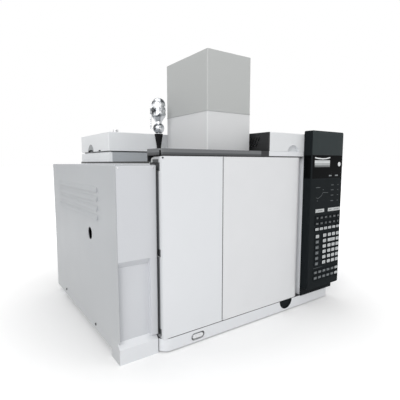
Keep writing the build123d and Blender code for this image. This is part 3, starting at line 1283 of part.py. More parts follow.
def side_cabinet_front():
    """Front moulding: upper panel with a sloped underside, recessed lower panel and strip."""
    x0 = CAB_X0 + SHEET
    x1 = CAB_X1 - SHEET
    top = CAB_TOP_Z - SHEET
    y0 = CAB_Y0
    under = CAB_OVERHANG_Z
    profile = make_face(Polyline((y0, top), (y0, under), (y0 + CAB_RECESS, under - CAB_SLOPE),
                                 (y0 + CAB_RECESS + CAB_FRONT_T, under - CAB_SLOPE),
                                 (y0 + CAB_RECESS + CAB_FRONT_T, under),
                                 (y0 + CAB_FRONT_T, under + CAB_FRONT_T),
                                 (y0 + CAB_FRONT_T, top), (y0, top)))
    upper = Pos(x0, 0, 0) * extrude(Plane.YZ * profile, amount=x1 - x0)
    strip = block(x1 - CAB_STRIP_W, x1, y0, y0 + CAB_RECESS + CAB_FRONT_T, sill_top_z(), under + 2)
    recess_y = y0 + CAB_RECESS
    lower = block(x0, x1, recess_y, recess_y + CAB_FRONT_T, sill_top_z(), under - CAB_SLOPE)
    return upper + strip + lower


def sill_top_z():
    return CAB_SILL_Z + CAB_RECESS


def side_cabinet_sill():
    """Front foot of the cabinet: a block with a sloping ledge below the recess."""
    y0 = CAB_Y0
    profile = make_face(Polyline((y0, 0), (y0, CAB_SILL_Z),
                                 (y0 + CAB_RECESS, sill_top_z()), (y0 + CAB_FOOT_D, sill_top_z()),
                                 (y0 + CAB_FOOT_D, 0), (y0, 0)))
    sill = Pos(CAB_X0, 0, 0) * extrude(Plane.YZ * profile, amount=CAB_W)
    wall = CAB_FOOT_WALL
    hollow = block(CAB_X0 + wall, CAB_X1 - wall, y0 + wall, y0 + CAB_FOOT_D - wall, -1, CAB_SILL_Z - wall - 1)
    rear_foot = block(CAB_X0 + SHEET, CAB_X1 - SHEET, y0 + CAB_FOOT_D, CAB_Y1 - SHEET,
                      CAB_EDGE_Z, CAB_EDGE_Z + SHEET)
    rear_post = block(CAB_X0 + SHEET + 8, CAB_X1 - SHEET - 8, CAB_Y1 - 60, CAB_Y1 - 30, 0, CAB_EDGE_Z)
    return sill - hollow + rear_foot + rear_post


def cooling_fan_frame():
    y1 = CAB_Y1 - SHEET
    y0 = y1 - COOLER_D
    half = COOLER / 2
    frame = rounded_xz(CAB_XC - half, CAB_XC + half, COOLER_Z - half, COOLER_Z + half, 4, y0, y1)
    frame -= rod_y(y0 - 1, y1 + 1, CAB_XC, COOLER_Z, COOLER_BORE_R)
    frame += rod_y(y1 - 3, y1 - 0.5, CAB_XC, COOLER_Z, COOLER_HUB_R)
    for step in range(4):
        arm = block(CAB_XC, CAB_XC + COOLER_BORE_R + 1, y1 - 3, y1 - 0.5, COOLER_Z - 2, COOLER_Z + 2)
        frame += spin_y(arm, CAB_XC, COOLER_Z, 90 * step + 20)
    return frame + rod_y(y0 + 8, y1 - 2, CAB_XC, COOLER_Z, 3)


def cooling_fan():
    """Axial rotor: hub cup and pitched blades on the frame's spindle."""
    y1 = CAB_Y1 - SHEET
    y0 = y1 - COOLER_D
    hub = rod_y(y0 + 2, y1 - 4, CAB_XC, COOLER_Z, COOLER_HUB_R)
    hub = fillet(hub.faces().sort_by(Axis.Y)[0].edges(), 2)
    for step in range(COOLER_BLADES):
        blade = Pos(CAB_XC + (COOLER_HUB_R + COOLER_BORE_R - 1.5) / 2 - 1, (y0 + y1) / 2 - 1, COOLER_Z)
        blade = blade * Rot(32, 0, 0) * Box(COOLER_BORE_R - COOLER_HUB_R + 0.5, 16, 1.4)
        hub += spin_y(blade, CAB_XC, COOLER_Z, 360 / COOLER_BLADES * step)
    return hub - rod_y(y0 + 6, y1 + 1, CAB_XC, COOLER_Z, 3 + BORE_GAP)


# ---------------------------------------------------------------- rear fittings
def fitting_places():
    return [FITTING_X0 + index * FITTING_PITCH for index in range(FITTING_COUNT)]


def gas_fittings():
    """Bulkhead unions: hexagon, barrel and tube end on each."""
    unions = []
    for x in fitting_places():
        hexagon = plate_xz(Pos(x, FITTING_Z) * RegularPolygon(FITTING_R + 1, 6), MAIN_D, MAIN_D + 4)
        barrel = rod_y(REAR_Y - 10, MAIN_D + FITTING_PROUD, x, FITTING_Z, FITTING_R - 1.5)
        unions.append(hexagon + barrel - rod_y(REAR_Y - 11, MAIN_D + FITTING_PROUD + 1, x, FITTING_Z, 1.6))
    return Compound(children=unions)


def power_inlet():
    """Recessed appliance inlet with its three contact blades."""
    x0 = INLET_PLUG_X - INLET_PLUG_W / 2
    x1 = INLET_PLUG_X + INLET_PLUG_W / 2
    z0 = INLET_PLUG_Z - INLET_PLUG_H / 2
    z1 = INLET_PLUG_Z + INLET_PLUG_H / 2
    body = block(x0, x1, REAR_Y - 22, MAIN_D, z0, z1)
    body += block(x0 - 3, x1 + 3, MAIN_D, MAIN_D + 2, z0 - 3, z1 + 3)
    body -= block(x0 + 12, x1 - 12, MAIN_D - 15, MAIN_D + 3, z0 + 5, z1 - 5)
    for offset in (-7, 0, 7):
        body += block(INLET_PLUG_X + offset - 1, INLET_PLUG_X + offset + 1, MAIN_D - 16, MAIN_D - 2,
                      INLET_PLUG_Z - 2.5, INLET_PLUG_Z + 2.5)
    return body


# ---------------------------------------------------------------- oven door
def door_outline(inset):
    """Plan of the door: small radius at the hinge edge, large one at the free edge."""
    left_r = max(DOOR_LEFT_R - inset, 0.8)
    right_r = max(DOOR_RIGHT_R - inset, 0.8)
    x0, x1, y0, y1 = inset, DOOR_X1 - inset, inset, DOOR_T
    with BuildLine() as line:
        Line((x0, y1), (x0, y0 + left_r))
        RadiusArc((x0, y0 + left_r), (x0 + left_r, y0), -left_r)
        Line((x0 + left_r, y0), (x1 - right_r, y0))
        RadiusArc((x1 - right_r, y0), (x1, y0 + right_r), -right_r)
        Line((x1, y0 + right_r), (x1, y1))
        Line((x1, y1), (x0, y1))
    return make_face(line.line)


def door_prism(inset, z0, z1):
    return Pos(0, 0, z0) * extrude(door_outline(inset), amount=z1 - z0)


def door_body(inset):
    """Door shape inset on all sides but the back, with its corners rounded in elevation."""
    z0 = DOOR_Z0 + inset
    z1 = DOOR_Z1 - inset
    corners = rounded_xz(inset, DOOR_X1 - inset, z0, z1, max(DOOR_CORNER_R - inset, 0.8), -1, DOOR_T + 1)
    return door_prism(inset, z0, z1) & corners


def hinge_notches(grow):
    """Clear spaces in the door's hinge edge for the fixed knuckles and straps."""
    half = HINGE_KNUCKLE_H / 2 + 0.6 - grow
    cuts = None
    for z in HINGE_HEIGHTS:
        cut = block(-1, HINGE_X + HINGE_KNUCKLE_R + 0.7 - grow, DOOR_SKIN, DOOR_T + 1, z - half, z + half)
        cuts = cut if cuts is None else cuts + cut
    return cuts


def door_skin(x0, x1):
    """One outer skin, folded round the door edges."""
    skin = door_body(0) - door_body(DOOR_SKIN)
    skin &= block(x0, x1, -1, DOOR_SKIN_RETURN, DOOR_Z0 - 1, DOOR_Z1 + 1)
    return skin - hinge_notches(0)


def door_pan():
    """Inner steel pan with hinge lugs, and the stiffener behind the groove."""
    z0 = DOOR_Z0 + DOOR_SKIN
    z1 = DOOR_Z1 - DOOR_SKIN
    inner = door_body(DOOR_SKIN + SHEET)
    pan = door_body(DOOR_SKIN) - (Pos(0, -SHEET, 0) * inner) - (Pos(0, -3 * SHEET, 0) * inner)
    pan += block(GROOVE_X - STIFFENER_W / 2, GROOVE_X + STIFFENER_W / 2, DOOR_SKIN, DOOR_SKIN + SHEET, z0, z1)
    for z in HINGE_HEIGHTS:
        for side in (-1, 1):
            near = z + side * (HINGE_KNUCKLE_H / 2 + 0.6)
            far = near + side * HINGE_LUG_H
            pan += hinge_lug(min(near, far), max(near, far))
    pan -= hinge_notches(0)
    for z in HINGE_HEIGHTS:
        pan -= rod_z(z - pin_half(), z + pin_half(), HINGE_X, HINGE_Y, HINGE_PIN_R)
    return pan


def hinge_lug(z0, z1):
    """Hinge lug inside the pan's hinge edge."""
    reach = HINGE_KNUCKLE_R + 2
    return door_body(DOOR_SKIN) & block(0, HINGE_X + reach, 0, HINGE_Y + reach, z0, z1)


def pin_half():
    return HINGE_KNUCKLE_H / 2 + HINGE_LUG_H - 1.5


def door_insulation():
    """Insulation block that fills the pan."""
    z0 = DOOR_Z0 + DOOR_SKIN + SHEET
    z1 = DOOR_Z1 - DOOR_SKIN - SHEET
    x0 = HINGE_X + HINGE_KNUCKLE_R + 6
    return block(x0, DOOR_X1 - DOOR_RIGHT_R, DOOR_SKIN + SHEET, DOOR_T - SHEET, z0, z1)


def door_gasket():
    """Flat woven gasket round the oven mouth on the inner face of the door."""
    g0 = GASKET_GAP
    g1 = GASKET_GAP + GASKET_R
    y1 = FRAME_Y - SEAT_GAP
    outer = rounded_xz(OVEN_X0 - g1, OVEN_X1 + g1, OVEN_Z0 - g1, OVEN_Z1 + g1, g1, DOOR_T, y1)
    inner = rounded_xz(OVEN_X0 - g0, OVEN_X1 + g0, OVEN_Z0 - g0, OVEN_Z1 + g0, g0, DOOR_T - 1, y1 + 1)
    return outer - inner


def door_hinge_pins():
    return Compound(children=[rod_z(z - pin_half(), z + pin_half(), HINGE_X, HINGE_Y, HINGE_PIN_R)
                              for z in HINGE_HEIGHTS])


def door_hinge_brackets():
    """Fixed knuckles on straps from the bulkhead."""
    brackets = []
    half = HINGE_KNUCKLE_H / 2
    for z in HINGE_HEIGHTS:
        bracket = rod_z(z - half, z + half, HINGE_X, HINGE_Y, HINGE_KNUCKLE_R)
        bracket += block(HINGE_X - HINGE_STRAP / 2, HINGE_X + HINGE_STRAP / 2, HINGE_Y, FRAME_Y,
                         z - half, z + half)
        bracket += block(HINGE_X - HINGE_STRAP / 2, HINGE_X + HINGE_FOOT_W, FRAME_Y - HINGE_FOOT_T, FRAME_Y,
                         z - half, z + half)
        bracket -= rod_z(z - half - 1, z + half + 1, HINGE_X, HINGE_Y, HINGE_PIN_R + BORE_GAP)
        brackets.append(bracket)
    return Compound(children=brackets)


# ---------------------------------------------------------------- write every piece
def all_pieces():
    groove0 = GROOVE_X - GROOVE_W / 2
    groove1 = GROOVE_X + GROOVE_W / 2
    pieces = {
        "base_pan": base_pan(),
        "base_skirt": base_skirt(),
        "rubber_feet": rubber_feet(),
        "door_latch_button": door_latch_button(),
        "power_switch": power_switch(),
        "left_side_panel": left_side_panel(),
        "right_side_panel": right_side_panel(),
        "rear_panel": rear_panel(),
        "front_bulkhead": front_bulkhead(),
        "electronics_bay_wall": electronics_bay_wall(),
        "top_deck": top_deck(),
        "deck_trim": deck_trim(),
        "oven_liner": oven_liner(),
        "oven_insulation": oven_insulation(),
        "fan_baffle": fan_baffle(),
        "column_cage": column_cage(),
        "column_coil": column_coil(),
        "oven_fan": oven_fan(),
        "fan_motor": fan_motor(),
        "heater_coil": heater_coil(),
        "intake_flap": vent_flap(VENT_Z[0], 1),
        "exhaust_flap": vent_flap(VENT_Z[1], 1),
        "vent_frames": vent_frames(),
        "inlet_ports": inlet_ports(),
        "septum_nuts": septum_nuts(),
        "detector_burner": detector_burner(),
        "tower_cover": tower_cover(),
        "vent_trap": vent_trap(),
        "trap_boot": trap_boot(),
        "valve_box_base": valve_box_base(),
        "valve_box_lid": valve_box_lid(),
        "lid_thumbscrew": lid_thumbscrew(),
        "sample_valve": sample_valve(),
        "valve_rotor": valve_rotor(),
        "electronics_cover": electronics_cover(),
        "main_board": main_board(),
        "power_supply": power_supply(),
        "epc_modules": epc_modules(),
        "control_panel_housing": control_panel_housing(),
        "display_window": display_window(),
        "display_module": display_module(),
        "status_leds": status_leds(),
        "keypad_mat": keypad_mat(),
        "side_cabinet_shell": side_cabinet_shell(),
        "side_cabinet_front": side_cabinet_front(),
        "side_cabinet_sill": side_cabinet_sill(),
        "cooling_fan_frame": cooling_fan_frame(),
        "cooling_fan": cooling_fan(),
        "gas_fittings": gas_fittings(),
        "power_inlet": power_inlet(),
        "door_skin_left": door_skin(-1, groove0),
        "door_skin_right": door_skin(groove1, DOOR_X1 + 1),
        "door_pan": door_pan(),
        "door_insulation": door_insulation(),
        "door_gasket": door_gasket(),
        "door_hinge_pins": door_hinge_pins(),
        "door_hinge_brackets": door_hinge_brackets(),
    }
    for name, (x0, x1) in big_keys().items():
        pieces[name] = big_key(x0, x1)
    return pieces


os.makedirs("parts", exist_ok=True)
for name, piece in all_pieces().items():
    export_step(TO_ORIGIN * piece, f"parts/{name}.step")
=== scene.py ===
import json
import math

import bmesh
import bpy
from mathutils import Matrix, Vector, noise


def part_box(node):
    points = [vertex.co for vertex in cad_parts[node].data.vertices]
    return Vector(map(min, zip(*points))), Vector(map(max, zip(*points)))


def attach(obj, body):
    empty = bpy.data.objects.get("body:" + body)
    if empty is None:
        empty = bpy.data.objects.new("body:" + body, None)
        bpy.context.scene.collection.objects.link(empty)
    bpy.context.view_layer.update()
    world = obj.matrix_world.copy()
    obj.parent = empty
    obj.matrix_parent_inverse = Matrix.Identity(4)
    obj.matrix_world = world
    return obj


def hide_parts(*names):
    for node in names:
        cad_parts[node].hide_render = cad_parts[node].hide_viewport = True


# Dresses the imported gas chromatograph: finishes, camera, keypad caps and marks, display, screws,
# rear sockets, column tails, board parts, wool, braided door seal, then the floor and lights.

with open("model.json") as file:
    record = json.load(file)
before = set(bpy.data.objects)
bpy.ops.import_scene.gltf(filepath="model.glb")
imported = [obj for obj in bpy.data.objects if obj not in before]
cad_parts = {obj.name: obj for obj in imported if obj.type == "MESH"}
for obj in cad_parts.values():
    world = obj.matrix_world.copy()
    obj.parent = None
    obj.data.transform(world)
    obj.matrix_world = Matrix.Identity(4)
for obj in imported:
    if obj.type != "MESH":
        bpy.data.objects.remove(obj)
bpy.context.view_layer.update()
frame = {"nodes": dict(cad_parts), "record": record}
nodes = frame["nodes"]

# ------------------------------------------------------------------ places
MM = 0.001
UP, RIGHT, BACK = Vector((0, 0, 1)), Vector((1, 0, 0)), Vector((0, 1, 0))
DOOR_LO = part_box("door_skin_left")[0]
PANEL_LO, PANEL_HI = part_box("control_panel_housing")
CORNER = Vector((DOOR_LO.x, DOOR_LO.y, 0.0))  # front left corner of the mainframe on the bench
TOWER_SEAM = 0.532  # height where the upper tower cover sits over the lower one
HAIR = 0.0001  # how far a printed mark reaches into the face below it


def mm(x, y, z):
    """Point in millimetres from the mainframe's front left corner on the bench."""
    return CORNER + Vector((x, y, z)) * MM


def srgb(red, green, blue):
    """Linear colour of an 8-bit display colour."""
    def linear(value):
        value /= 255
        return value / 12.92 if value <= 0.04045 else ((value + 0.055) / 1.055) ** 2.4
    return (linear(red), linear(green), linear(blue), 1.0)


WHITE = srgb(226, 228, 231)
PALE_GREY = srgb(199, 201, 201)
# Painted shade: tone of the side cabinet's left faces, lighter than the shaded shell low down and
# darker than the white sill.
LEFT_FACE_SHADE = srgb(192, 194, 196)
# Grey of the valve tray everywhere right of its left side, darker than that left side.
TRAY_GREY = srgb(176, 180, 184)
MID_GREY = srgb(150, 154, 158)
DARK_GREY = srgb(70, 72, 74)
# Painted shade: near-black colour painted onto faces where they sit in gaps or under other parts.
PAINTED_SHADE = srgb(34, 35, 37)


# ------------------------------------------------------------------ camera
CAMERA_AT = mm(-329.2, -615.8, 408.5)
CAMERA_TURN, CAMERA_DIP = math.radians(34.83), math.radians(6.21)
SENSOR_MM, LENS_MM = 36.0, 30.98
NEAREST, FARTHEST = 0.05, 60.0


def make_camera():
    data = bpy.data.cameras.new("camera")
    data.sensor_width = SENSOR_MM
    data.lens = LENS_MM
    data.clip_start, data.clip_end = NEAREST, FARTHEST
    camera = bpy.data.objects.new("camera", data)
    camera.location = CAMERA_AT
    camera.rotation_euler = (math.pi / 2 - CAMERA_DIP, 0.0, -CAMERA_TURN)
    bpy.context.scene.collection.objects.link(camera)
    bpy.context.scene.camera = camera


# ------------------------------------------------------------------ materials
class Shader:
    """A Principled material with short calls for the nodes that feed it."""

    def __init__(self, name, roughness=0.5, metallic=0.0, **sockets):
        self.material = bpy.data.materials.new(name)
        self.material.use_nodes = True
        self.nodes = self.material.node_tree.nodes
        self.links = self.material.node_tree.links
        self.body = self.nodes["Principled BSDF"]
        self.body.inputs["Roughness"].default_value = roughness
        self.body.inputs["Metallic"].default_value = metallic
        for socket, value in sockets.items():
            self.body.inputs[socket.replace("_", " ")].default_value = value
        self.place = self.nodes.new("ShaderNodeTexCoord").outputs["Object"]

    def stretch(self, scale):
        mapping = self.nodes.new("ShaderNodeMapping")
        mapping.inputs["Scale"].default_value = scale
        self.links.new(self.place, mapping.inputs["Vector"])
        return mapping.outputs["Vector"]

    def noise(self, scale, detail=3.0, stretch=None, rough=0.5):
        node = self.nodes.new("ShaderNodeTexNoise")
        node.inputs["Scale"].default_value = scale
        node.inputs["Detail"].default_value = detail
        node.inputs["Roughness"].default_value = rough
        self.links.new(self.stretch(stretch) if stretch else self.place, node.inputs["Vector"])
        return node.outputs["Fac"]

    def cells(self, scale, feature="F1"):
        node = self.nodes.new("ShaderNodeTexVoronoi")
        node.feature = feature
        node.inputs["Scale"].default_value = scale
        self.links.new(self.place, node.inputs["Vector"])
        return node.outputs["Distance"]

    def waves(self, scale, axis, distortion=0.0):
        node = self.nodes.new("ShaderNodeTexWave")
        node.bands_direction = axis
        node.inputs["Scale"].default_value = scale
        node.inputs["Distortion"].default_value = distortion
        self.links.new(self.place, node.inputs["Vector"])
        return node.outputs["Fac"]

    def ramp(self, source, *stops):
        node = self.nodes.new("ShaderNodeValToRGB")
        ramp = node.color_ramp
        while len(ramp.elements) < len(stops):
            ramp.elements.new(0.5)
        for element, (position, colour) in zip(ramp.elements, stops):
            element.position = position
            element.color = colour
        self.links.new(source, node.inputs["Fac"])
        return node.outputs["Color"]

    def span(self, source, low, high):
        node = self.nodes.new("ShaderNodeMapRange")
        node.inputs["To Min"].default_value = low
        node.inputs["To Max"].default_value = high
        self.links.new(source, node.inputs["Value"])
        return node.outputs["Result"]

    def over(self, axis, limit, soft=0.0003):
        """0 below a limit on one axis of the frame and 1 above it; -X, -Y and -Z turn it round."""
        parts = self.nodes.new("ShaderNodeSeparateXYZ")
        self.links.new(self.place, parts.inputs["Vector"])
        node = self.nodes.new("ShaderNodeMapRange")
        if axis.startswith("-"):
            soft = -soft
        node.inputs["From Min"].default_value = limit - soft
        node.inputs["From Max"].default_value = limit + soft
        self.links.new(parts.outputs[axis[-1]], node.inputs["Value"])
        return node.outputs["Result"]

    def blend(self, factor, low, high):
        """Goes from one colour source to another with a factor."""
        node = self.nodes.new("ShaderNodeMix")
        node.data_type = "RGBA"
        self.links.new(factor, node.inputs[0])
        self.links.new(low, node.inputs[6])
        self.links.new(high, node.inputs[7])
        return node.outputs[2]

    def tone(self, source, colour, drift):
        """One colour with a faint drift either way."""
        return self.ramp(source, (0.3, shade(colour, 1 - drift)), (0.72, shade(colour, 1 + drift)))

    def colour(self, source):
        self.links.new(source, self.body.inputs["Base Color"])

    def rough(self, source):
        self.links.new(source, self.body.inputs["Roughness"])

    def bump(self, source, strength, depth_mm):
        node = self.nodes.new("ShaderNodeBump")
        node.inputs["Strength"].default_value = strength
        node.inputs["Distance"].default_value = depth_mm * MM
        self.links.new(source, node.inputs["Height"])
        previous = self.body.inputs["Normal"].links
        if previous:
            self.links.new(previous[0].from_socket, node.inputs["Normal"])
        self.links.new(node.outputs["Normal"], self.body.inputs["Normal"])


def shade(colour, factor):
    return tuple(min(1.0, channel * factor) for channel in colour[:3]) + (1.0,)


def paint(name, colour, roughness=0.42, peel=0.22, drift=0.012, zones=()):
    """Powder-coated sheet metal with orange peel; each zone is (axis, limit, colour, softness)."""
    s = Shader(name, roughness, Coat_Weight=0.08, Coat_Roughness=0.4, Specular_IOR_Level=0.35)
    cloud = s.noise(5.5, 4.0)
    tone = s.tone(cloud, colour, drift)
    for axis, limit, other, *soft in zones:
        tone = s.blend(s.over(axis, limit, *soft), tone, s.tone(cloud, other, drift))
    s.colour(tone)
    s.rough(s.span(s.noise(9.0, 5.0), roughness - 0.07, roughness + 0.1))
    s.bump(s.noise(620.0, 2.0), peel, 0.1)
    return s.material


def moulded(name, colour, roughness=0.5, grain=0.35, drift=0.03, gloss=0.3):
    """Injection-moulded plastic with a fine spark-eroded grain."""
    s = Shader(name, roughness, Specular_IOR_Level=gloss)
    s.colour(s.tone(s.noise(16.0, 4.0), colour, drift))
    s.rough(s.span(s.noise(40.0, 4.0), roughness - 0.06, roughness + 0.1))
    s.bump(s.cells(1500.0), grain, 0.05)
    return s.material


def metal(name, colour, roughness=0.3, stretch=(1, 1, 1), lines=0.25, drift=0.08):
    """Rolled, drawn or turned metal, with its lines along the short side of the stretch."""
    s = Shader(name, roughness, metallic=1.0)
    s.colour(s.tone(s.noise(24.0, 4.0), colour, drift))
    s.rough(s.span(s.noise(70.0, 4.0, stretch), roughness - 0.08, roughness + 0.14))
    s.bump(s.noise(260.0, 3.0, stretch), lines, 0.05)
    return s.material


def spangled(name, colour):
    """Hot-dip zinc with its crystal pattern."""
    s = Shader(name, 0.38, metallic=1.0)
    s.colour(s.ramp(s.cells(150.0), (0.1, shade(colour, 0.88)), (0.75, shade(colour, 1.06))))
    s.rough(s.span(s.cells(150.0), 0.34, 0.48))
    s.bump(s.noise(300.0), 0.15, 0.08)
    return s.material


def foil(name):
    """Bright aluminium foil, crumpled between its ribs, with patches of dark reflection painted
    into its colour.
    """
    s = Shader(name, 0.12, metallic=1.0)
    painted_reflections = s.noise(34.0, 3.0, (1, 1, 1.7), 0.65)
    # Painted reflections: dark and grey patches in the foil's colour.
    s.colour(s.ramp(painted_reflections, (0.38, srgb(58, 60, 63)), (0.46, srgb(176, 179, 183)),
                    (0.56, srgb(250, 251, 253))))
    s.rough(s.span(s.noise(90.0, 4.0), 0.06, 0.22))
    s.bump(s.noise(62.0, 4.0), 0.5, 1.2)
    return s.material


def fibres(name, light, dark, scale=150.0):
    """Matted glass wool: long fibres crossing a soft cloud of tone."""
    s = Shader(name, 0.95, Sheen_Weight=0.35, Specular_IOR_Level=0.1)
    s.colour(s.ramp(s.noise(scale, 8.0, (1, 0.25, 1), 0.75), (0.3, dark), (0.66, light)))
    s.bump(s.noise(scale * 2.4, 7.0, (0.3, 1, 1), 0.7), 0.9, 1.2)
    s.bump(s.noise(22.0, 3.0), 0.6, 3.0)
    return s.material


def woven(name, light, dark):
    """Braided glass rope: two sets of strands crossing."""
    s = Shader(name, 0.9, Sheen_Weight=0.25, Specular_IOR_Level=0.15)
    s.colour(s.ramp(s.noise(420.0, 4.0), (0.3, dark), (0.7, light)))
    s.bump(s.waves(150.0, "DIAGONAL", 1.5), 0.8, 0.7)
    s.bump(s.waves(150.0, "Z", 2.0), 0.5, 0.5)
    return s.material


def laminate(name):
    """Circuit board: solder resist over copper traces."""
    s = Shader(name, 0.35, Coat_Weight=0.3, Coat_Roughness=0.2)
    traces = s.cells(230.0, "DISTANCE_TO_EDGE")
    s.colour(s.ramp(traces, (0.02, srgb(28, 110, 74)), (0.07, srgb(10, 66, 44)),
                    (1.0, srgb(12, 74, 48))))
    s.bump(traces, 0.25, 0.08)
    return s.material


def window_glass(name):
    """Smoked acrylic window, glossy and almost black."""
    s = Shader(name, 0.12, Specular_IOR_Level=0.03)
    s.colour(s.ramp(s.noise(8.0), (0.2, srgb(5, 7, 8)), (0.8, srgb(9, 11, 12))))
    s.rough(s.span(s.noise(30.0, 5.0), 0.08, 0.2))
    s.bump(s.noise(25.0), 0.05, 0.2)
    return s.material


def enamel_wire(name):
    """Amber-coated capillary, wound in many thin turns."""
    s = Shader(name, 0.3, Coat_Weight=0.5, Coat_Roughness=0.15)
    turns = s.waves(700.0, "Y", 0.6)
    s.colour(s.ramp(turns, (0.2, srgb(92, 48, 16)), (0.8, srgb(190, 118, 50))))
    s.bump(turns, 0.8, 0.25)
    return s.material


def screen(name):
    """Display with its backlight falling off downwards and four faint rows of characters."""
    lit_above, falloff = 0.4020, 0.006
    s = Shader(name, 0.25, Specular_IOR_Level=0.3)
    glow = s.blend(s.over("Z", lit_above, falloff), s.tone(s.noise(60.0), srgb(70, 74, 75), 0.1),
                   s.tone(s.noise(60.0), srgb(216, 220, 220), 0.05))
    rows = s.ramp(s.waves(46.0, "Z"), (0.55, (1, 1, 1, 1)), (0.62, (0.72, 0.72, 0.72, 1)))
    darker = s.nodes.new("ShaderNodeMix")
    darker.data_type = "RGBA"
    darker.blend_type = "MULTIPLY"
    darker.inputs[0].default_value = 1.0
    s.links.new(glow, darker.inputs[6])
    s.links.new(rows, darker.inputs[7])
    s.colour(darker.outputs[2])
    s.bump(s.cells(900.0), 0.1, 0.02)
    return s.material


def make_finishes():
    """One finished material for each of the record's slots."""
    return {
        "white_paint": paint("white_paint", WHITE),
        "grey_paint": paint("grey_paint", PALE_GREY, 0.46),
        "mid_grey_paint": paint("mid_grey_paint", MID_GREY, 0.5),
        "dark_paint": paint("dark_paint", DARK_GREY, 0.5, 0.3),
        "panel_plastic": moulded("panel_plastic", srgb(26, 30, 32), 0.55, gloss=0.04),
        "white_plastic": moulded("white_plastic", srgb(226, 227, 229), 0.42, 0.3, 0.008),
        "key_plastic": moulded("key_plastic", srgb(192, 195, 195), 0.5),
        "mat_rubber": moulded("mat_rubber", srgb(29, 33, 35), 0.68, 0.5, gloss=0.04),
        "rubber": moulded("rubber", srgb(24, 24, 25), 0.8, 0.6, gloss=0.15),
        "ceramic": moulded("ceramic", srgb(226, 219, 202), 0.55, 0.4),
        "motor": moulded("motor", srgb(44, 46, 50), 0.4, 0.2),
        "lens": moulded("lens", srgb(196, 202, 204), 0.2, 0.1),
        "lcd": moulded("lcd", srgb(96, 104, 104), 0.3, 0.15),
        "window": window_glass("window"),
        "steel": metal("steel", (0.62, 0.62, 0.63, 1), 0.3, (1, 1, 14)),
        "aluminium": metal("aluminium", (0.8, 0.81, 0.83, 1), 0.26, (1, 12, 1)),
        "brass": metal("brass", (0.72, 0.53, 0.22, 1), 0.28, (1, 1, 20)),
        "zinc": spangled("zinc", (0.6, 0.62, 0.65, 1)),
        "wool": fibres("wool", srgb(222, 208, 168), srgb(150, 132, 92)),
        "board": laminate("board"),
        "column": enamel_wire("column"),
    }


def make_overrides():
    """Nodes whose finish differs from the rest of their slot; some are lit or shaded copies of the
    white paint, and most zones paint shade into gaps and onto shaded sides and edges.
    """
    def across(x):
        return mm(x, 0, 0).x

    def deep(y):
        return mm(0, y, 0).y

    return {
        "tower_cover": paint("tower_paint", srgb(218, 219, 220), 0.46,
                             zones=[("Z", TOWER_SEAM, srgb(184, 186, 185))]),
        # Painted light and shade on the trim: the upper band is painted lighter as if lit from
        # above, and the part right of 283 mm and the lowest band over the door gap are painted
        # shade; past 310.5 mm it is white.
        "deck_trim": paint("trim_paint", DARK_GREY, 0.5, 0.3, zones=[
            ("Z", 0.4292, srgb(106, 108, 110)), ("X", across(283), PAINTED_SHADE),
            ("X", across(310.5), WHITE), ("-Z", 0.4248, PAINTED_SHADE)]),
        "electronics_cover": paint("cover_paint", srgb(34, 35, 36), 0.45,
                                   zones=[("X", across(312.3), srgb(224, 226, 228))]),
        # Painted shadow: a near-black band on the tray where the lid's gap is; right of its left
        # side the tray is a darker grey.
        "valve_box_base": paint("tray_paint", srgb(238, 240, 242), 0.45, zones=[
            ("X", across(9.5), TRAY_GREY), ("Z", 0.4385, PAINTED_SHADE), ("Z", 0.4425, TRAY_GREY)]),
        "valve_box_lid": paint("lid_paint", srgb(234, 236, 238)),
        # Painted shade: the cabinet's left side is a darker, shaded copy of its white paint, with
        # painted bounce light making it lighter towards the bench.
        "side_cabinet_shell": paint("cabinet_paint", srgb(175, 178, 181), 0.44,
                                    zones=[("-Z", 0.12, LEFT_FACE_SHADE, 0.12)]),
        # Painted shade: the sill's left face is darker than the rest of it.
        "side_cabinet_sill": paint("sill_paint", WHITE, zones=[("-X", across(-87.7), LEFT_FACE_SHADE)]),
        "side_cabinet_front": paint("front_paint", srgb(207, 209, 213), 0.44),
        # Painted shade: a near-black strip along the top of the left side panel, under the trim.
        "left_side_panel": paint("side_paint", WHITE, zones=[("Z", 0.4065, PAINTED_SHADE)]),
        # Painted shade: a near-black strip along the deck's left edge.
        "top_deck": paint("deck_paint", MID_GREY, 0.5, zones=[("-X", across(0.4), PAINTED_SHADE)]),
        # Painted shadow: near-black along the skirt's top edge under the door and along its left
        # strip beside the cabinet.
        "base_skirt": paint("skirt_paint", WHITE,
                            zones=[("Z", 0.0312, PAINTED_SHADE), ("-X", across(1.6), PAINTED_SHADE)]),
        # Painted shade: the pan's front face, seen in the gaps between the door skins, is
        # near-black.
        "door_pan": paint("pan_paint", PALE_GREY, 0.46, zones=[("-Y", deep(2.6), PAINTED_SHADE)]),
        # Painted shade on the left skin's rounded left edge: grey on the bend and near-black on its
        # side face.
        "door_skin_left": paint("left_skin_paint", WHITE, zones=[
            ("-X", across(3.0), srgb(176, 178, 181), 0.003),
            ("-X", across(0.3), srgb(58, 60, 62))]),
        "vent_trap": foil("foil"),
        "status_leds": moulded("led", srgb(128, 133, 135), 0.3, 0.1),
    }


finishes = make_finishes()
overrides = make_overrides()
slots = {part["node"]: part["material_slot"] for part in frame["record"]["subparts"]}
for name, node in nodes.items():
    node.data.materials.clear()
    node.data.materials.append(overrides.get(name) or finishes[slots[name]])


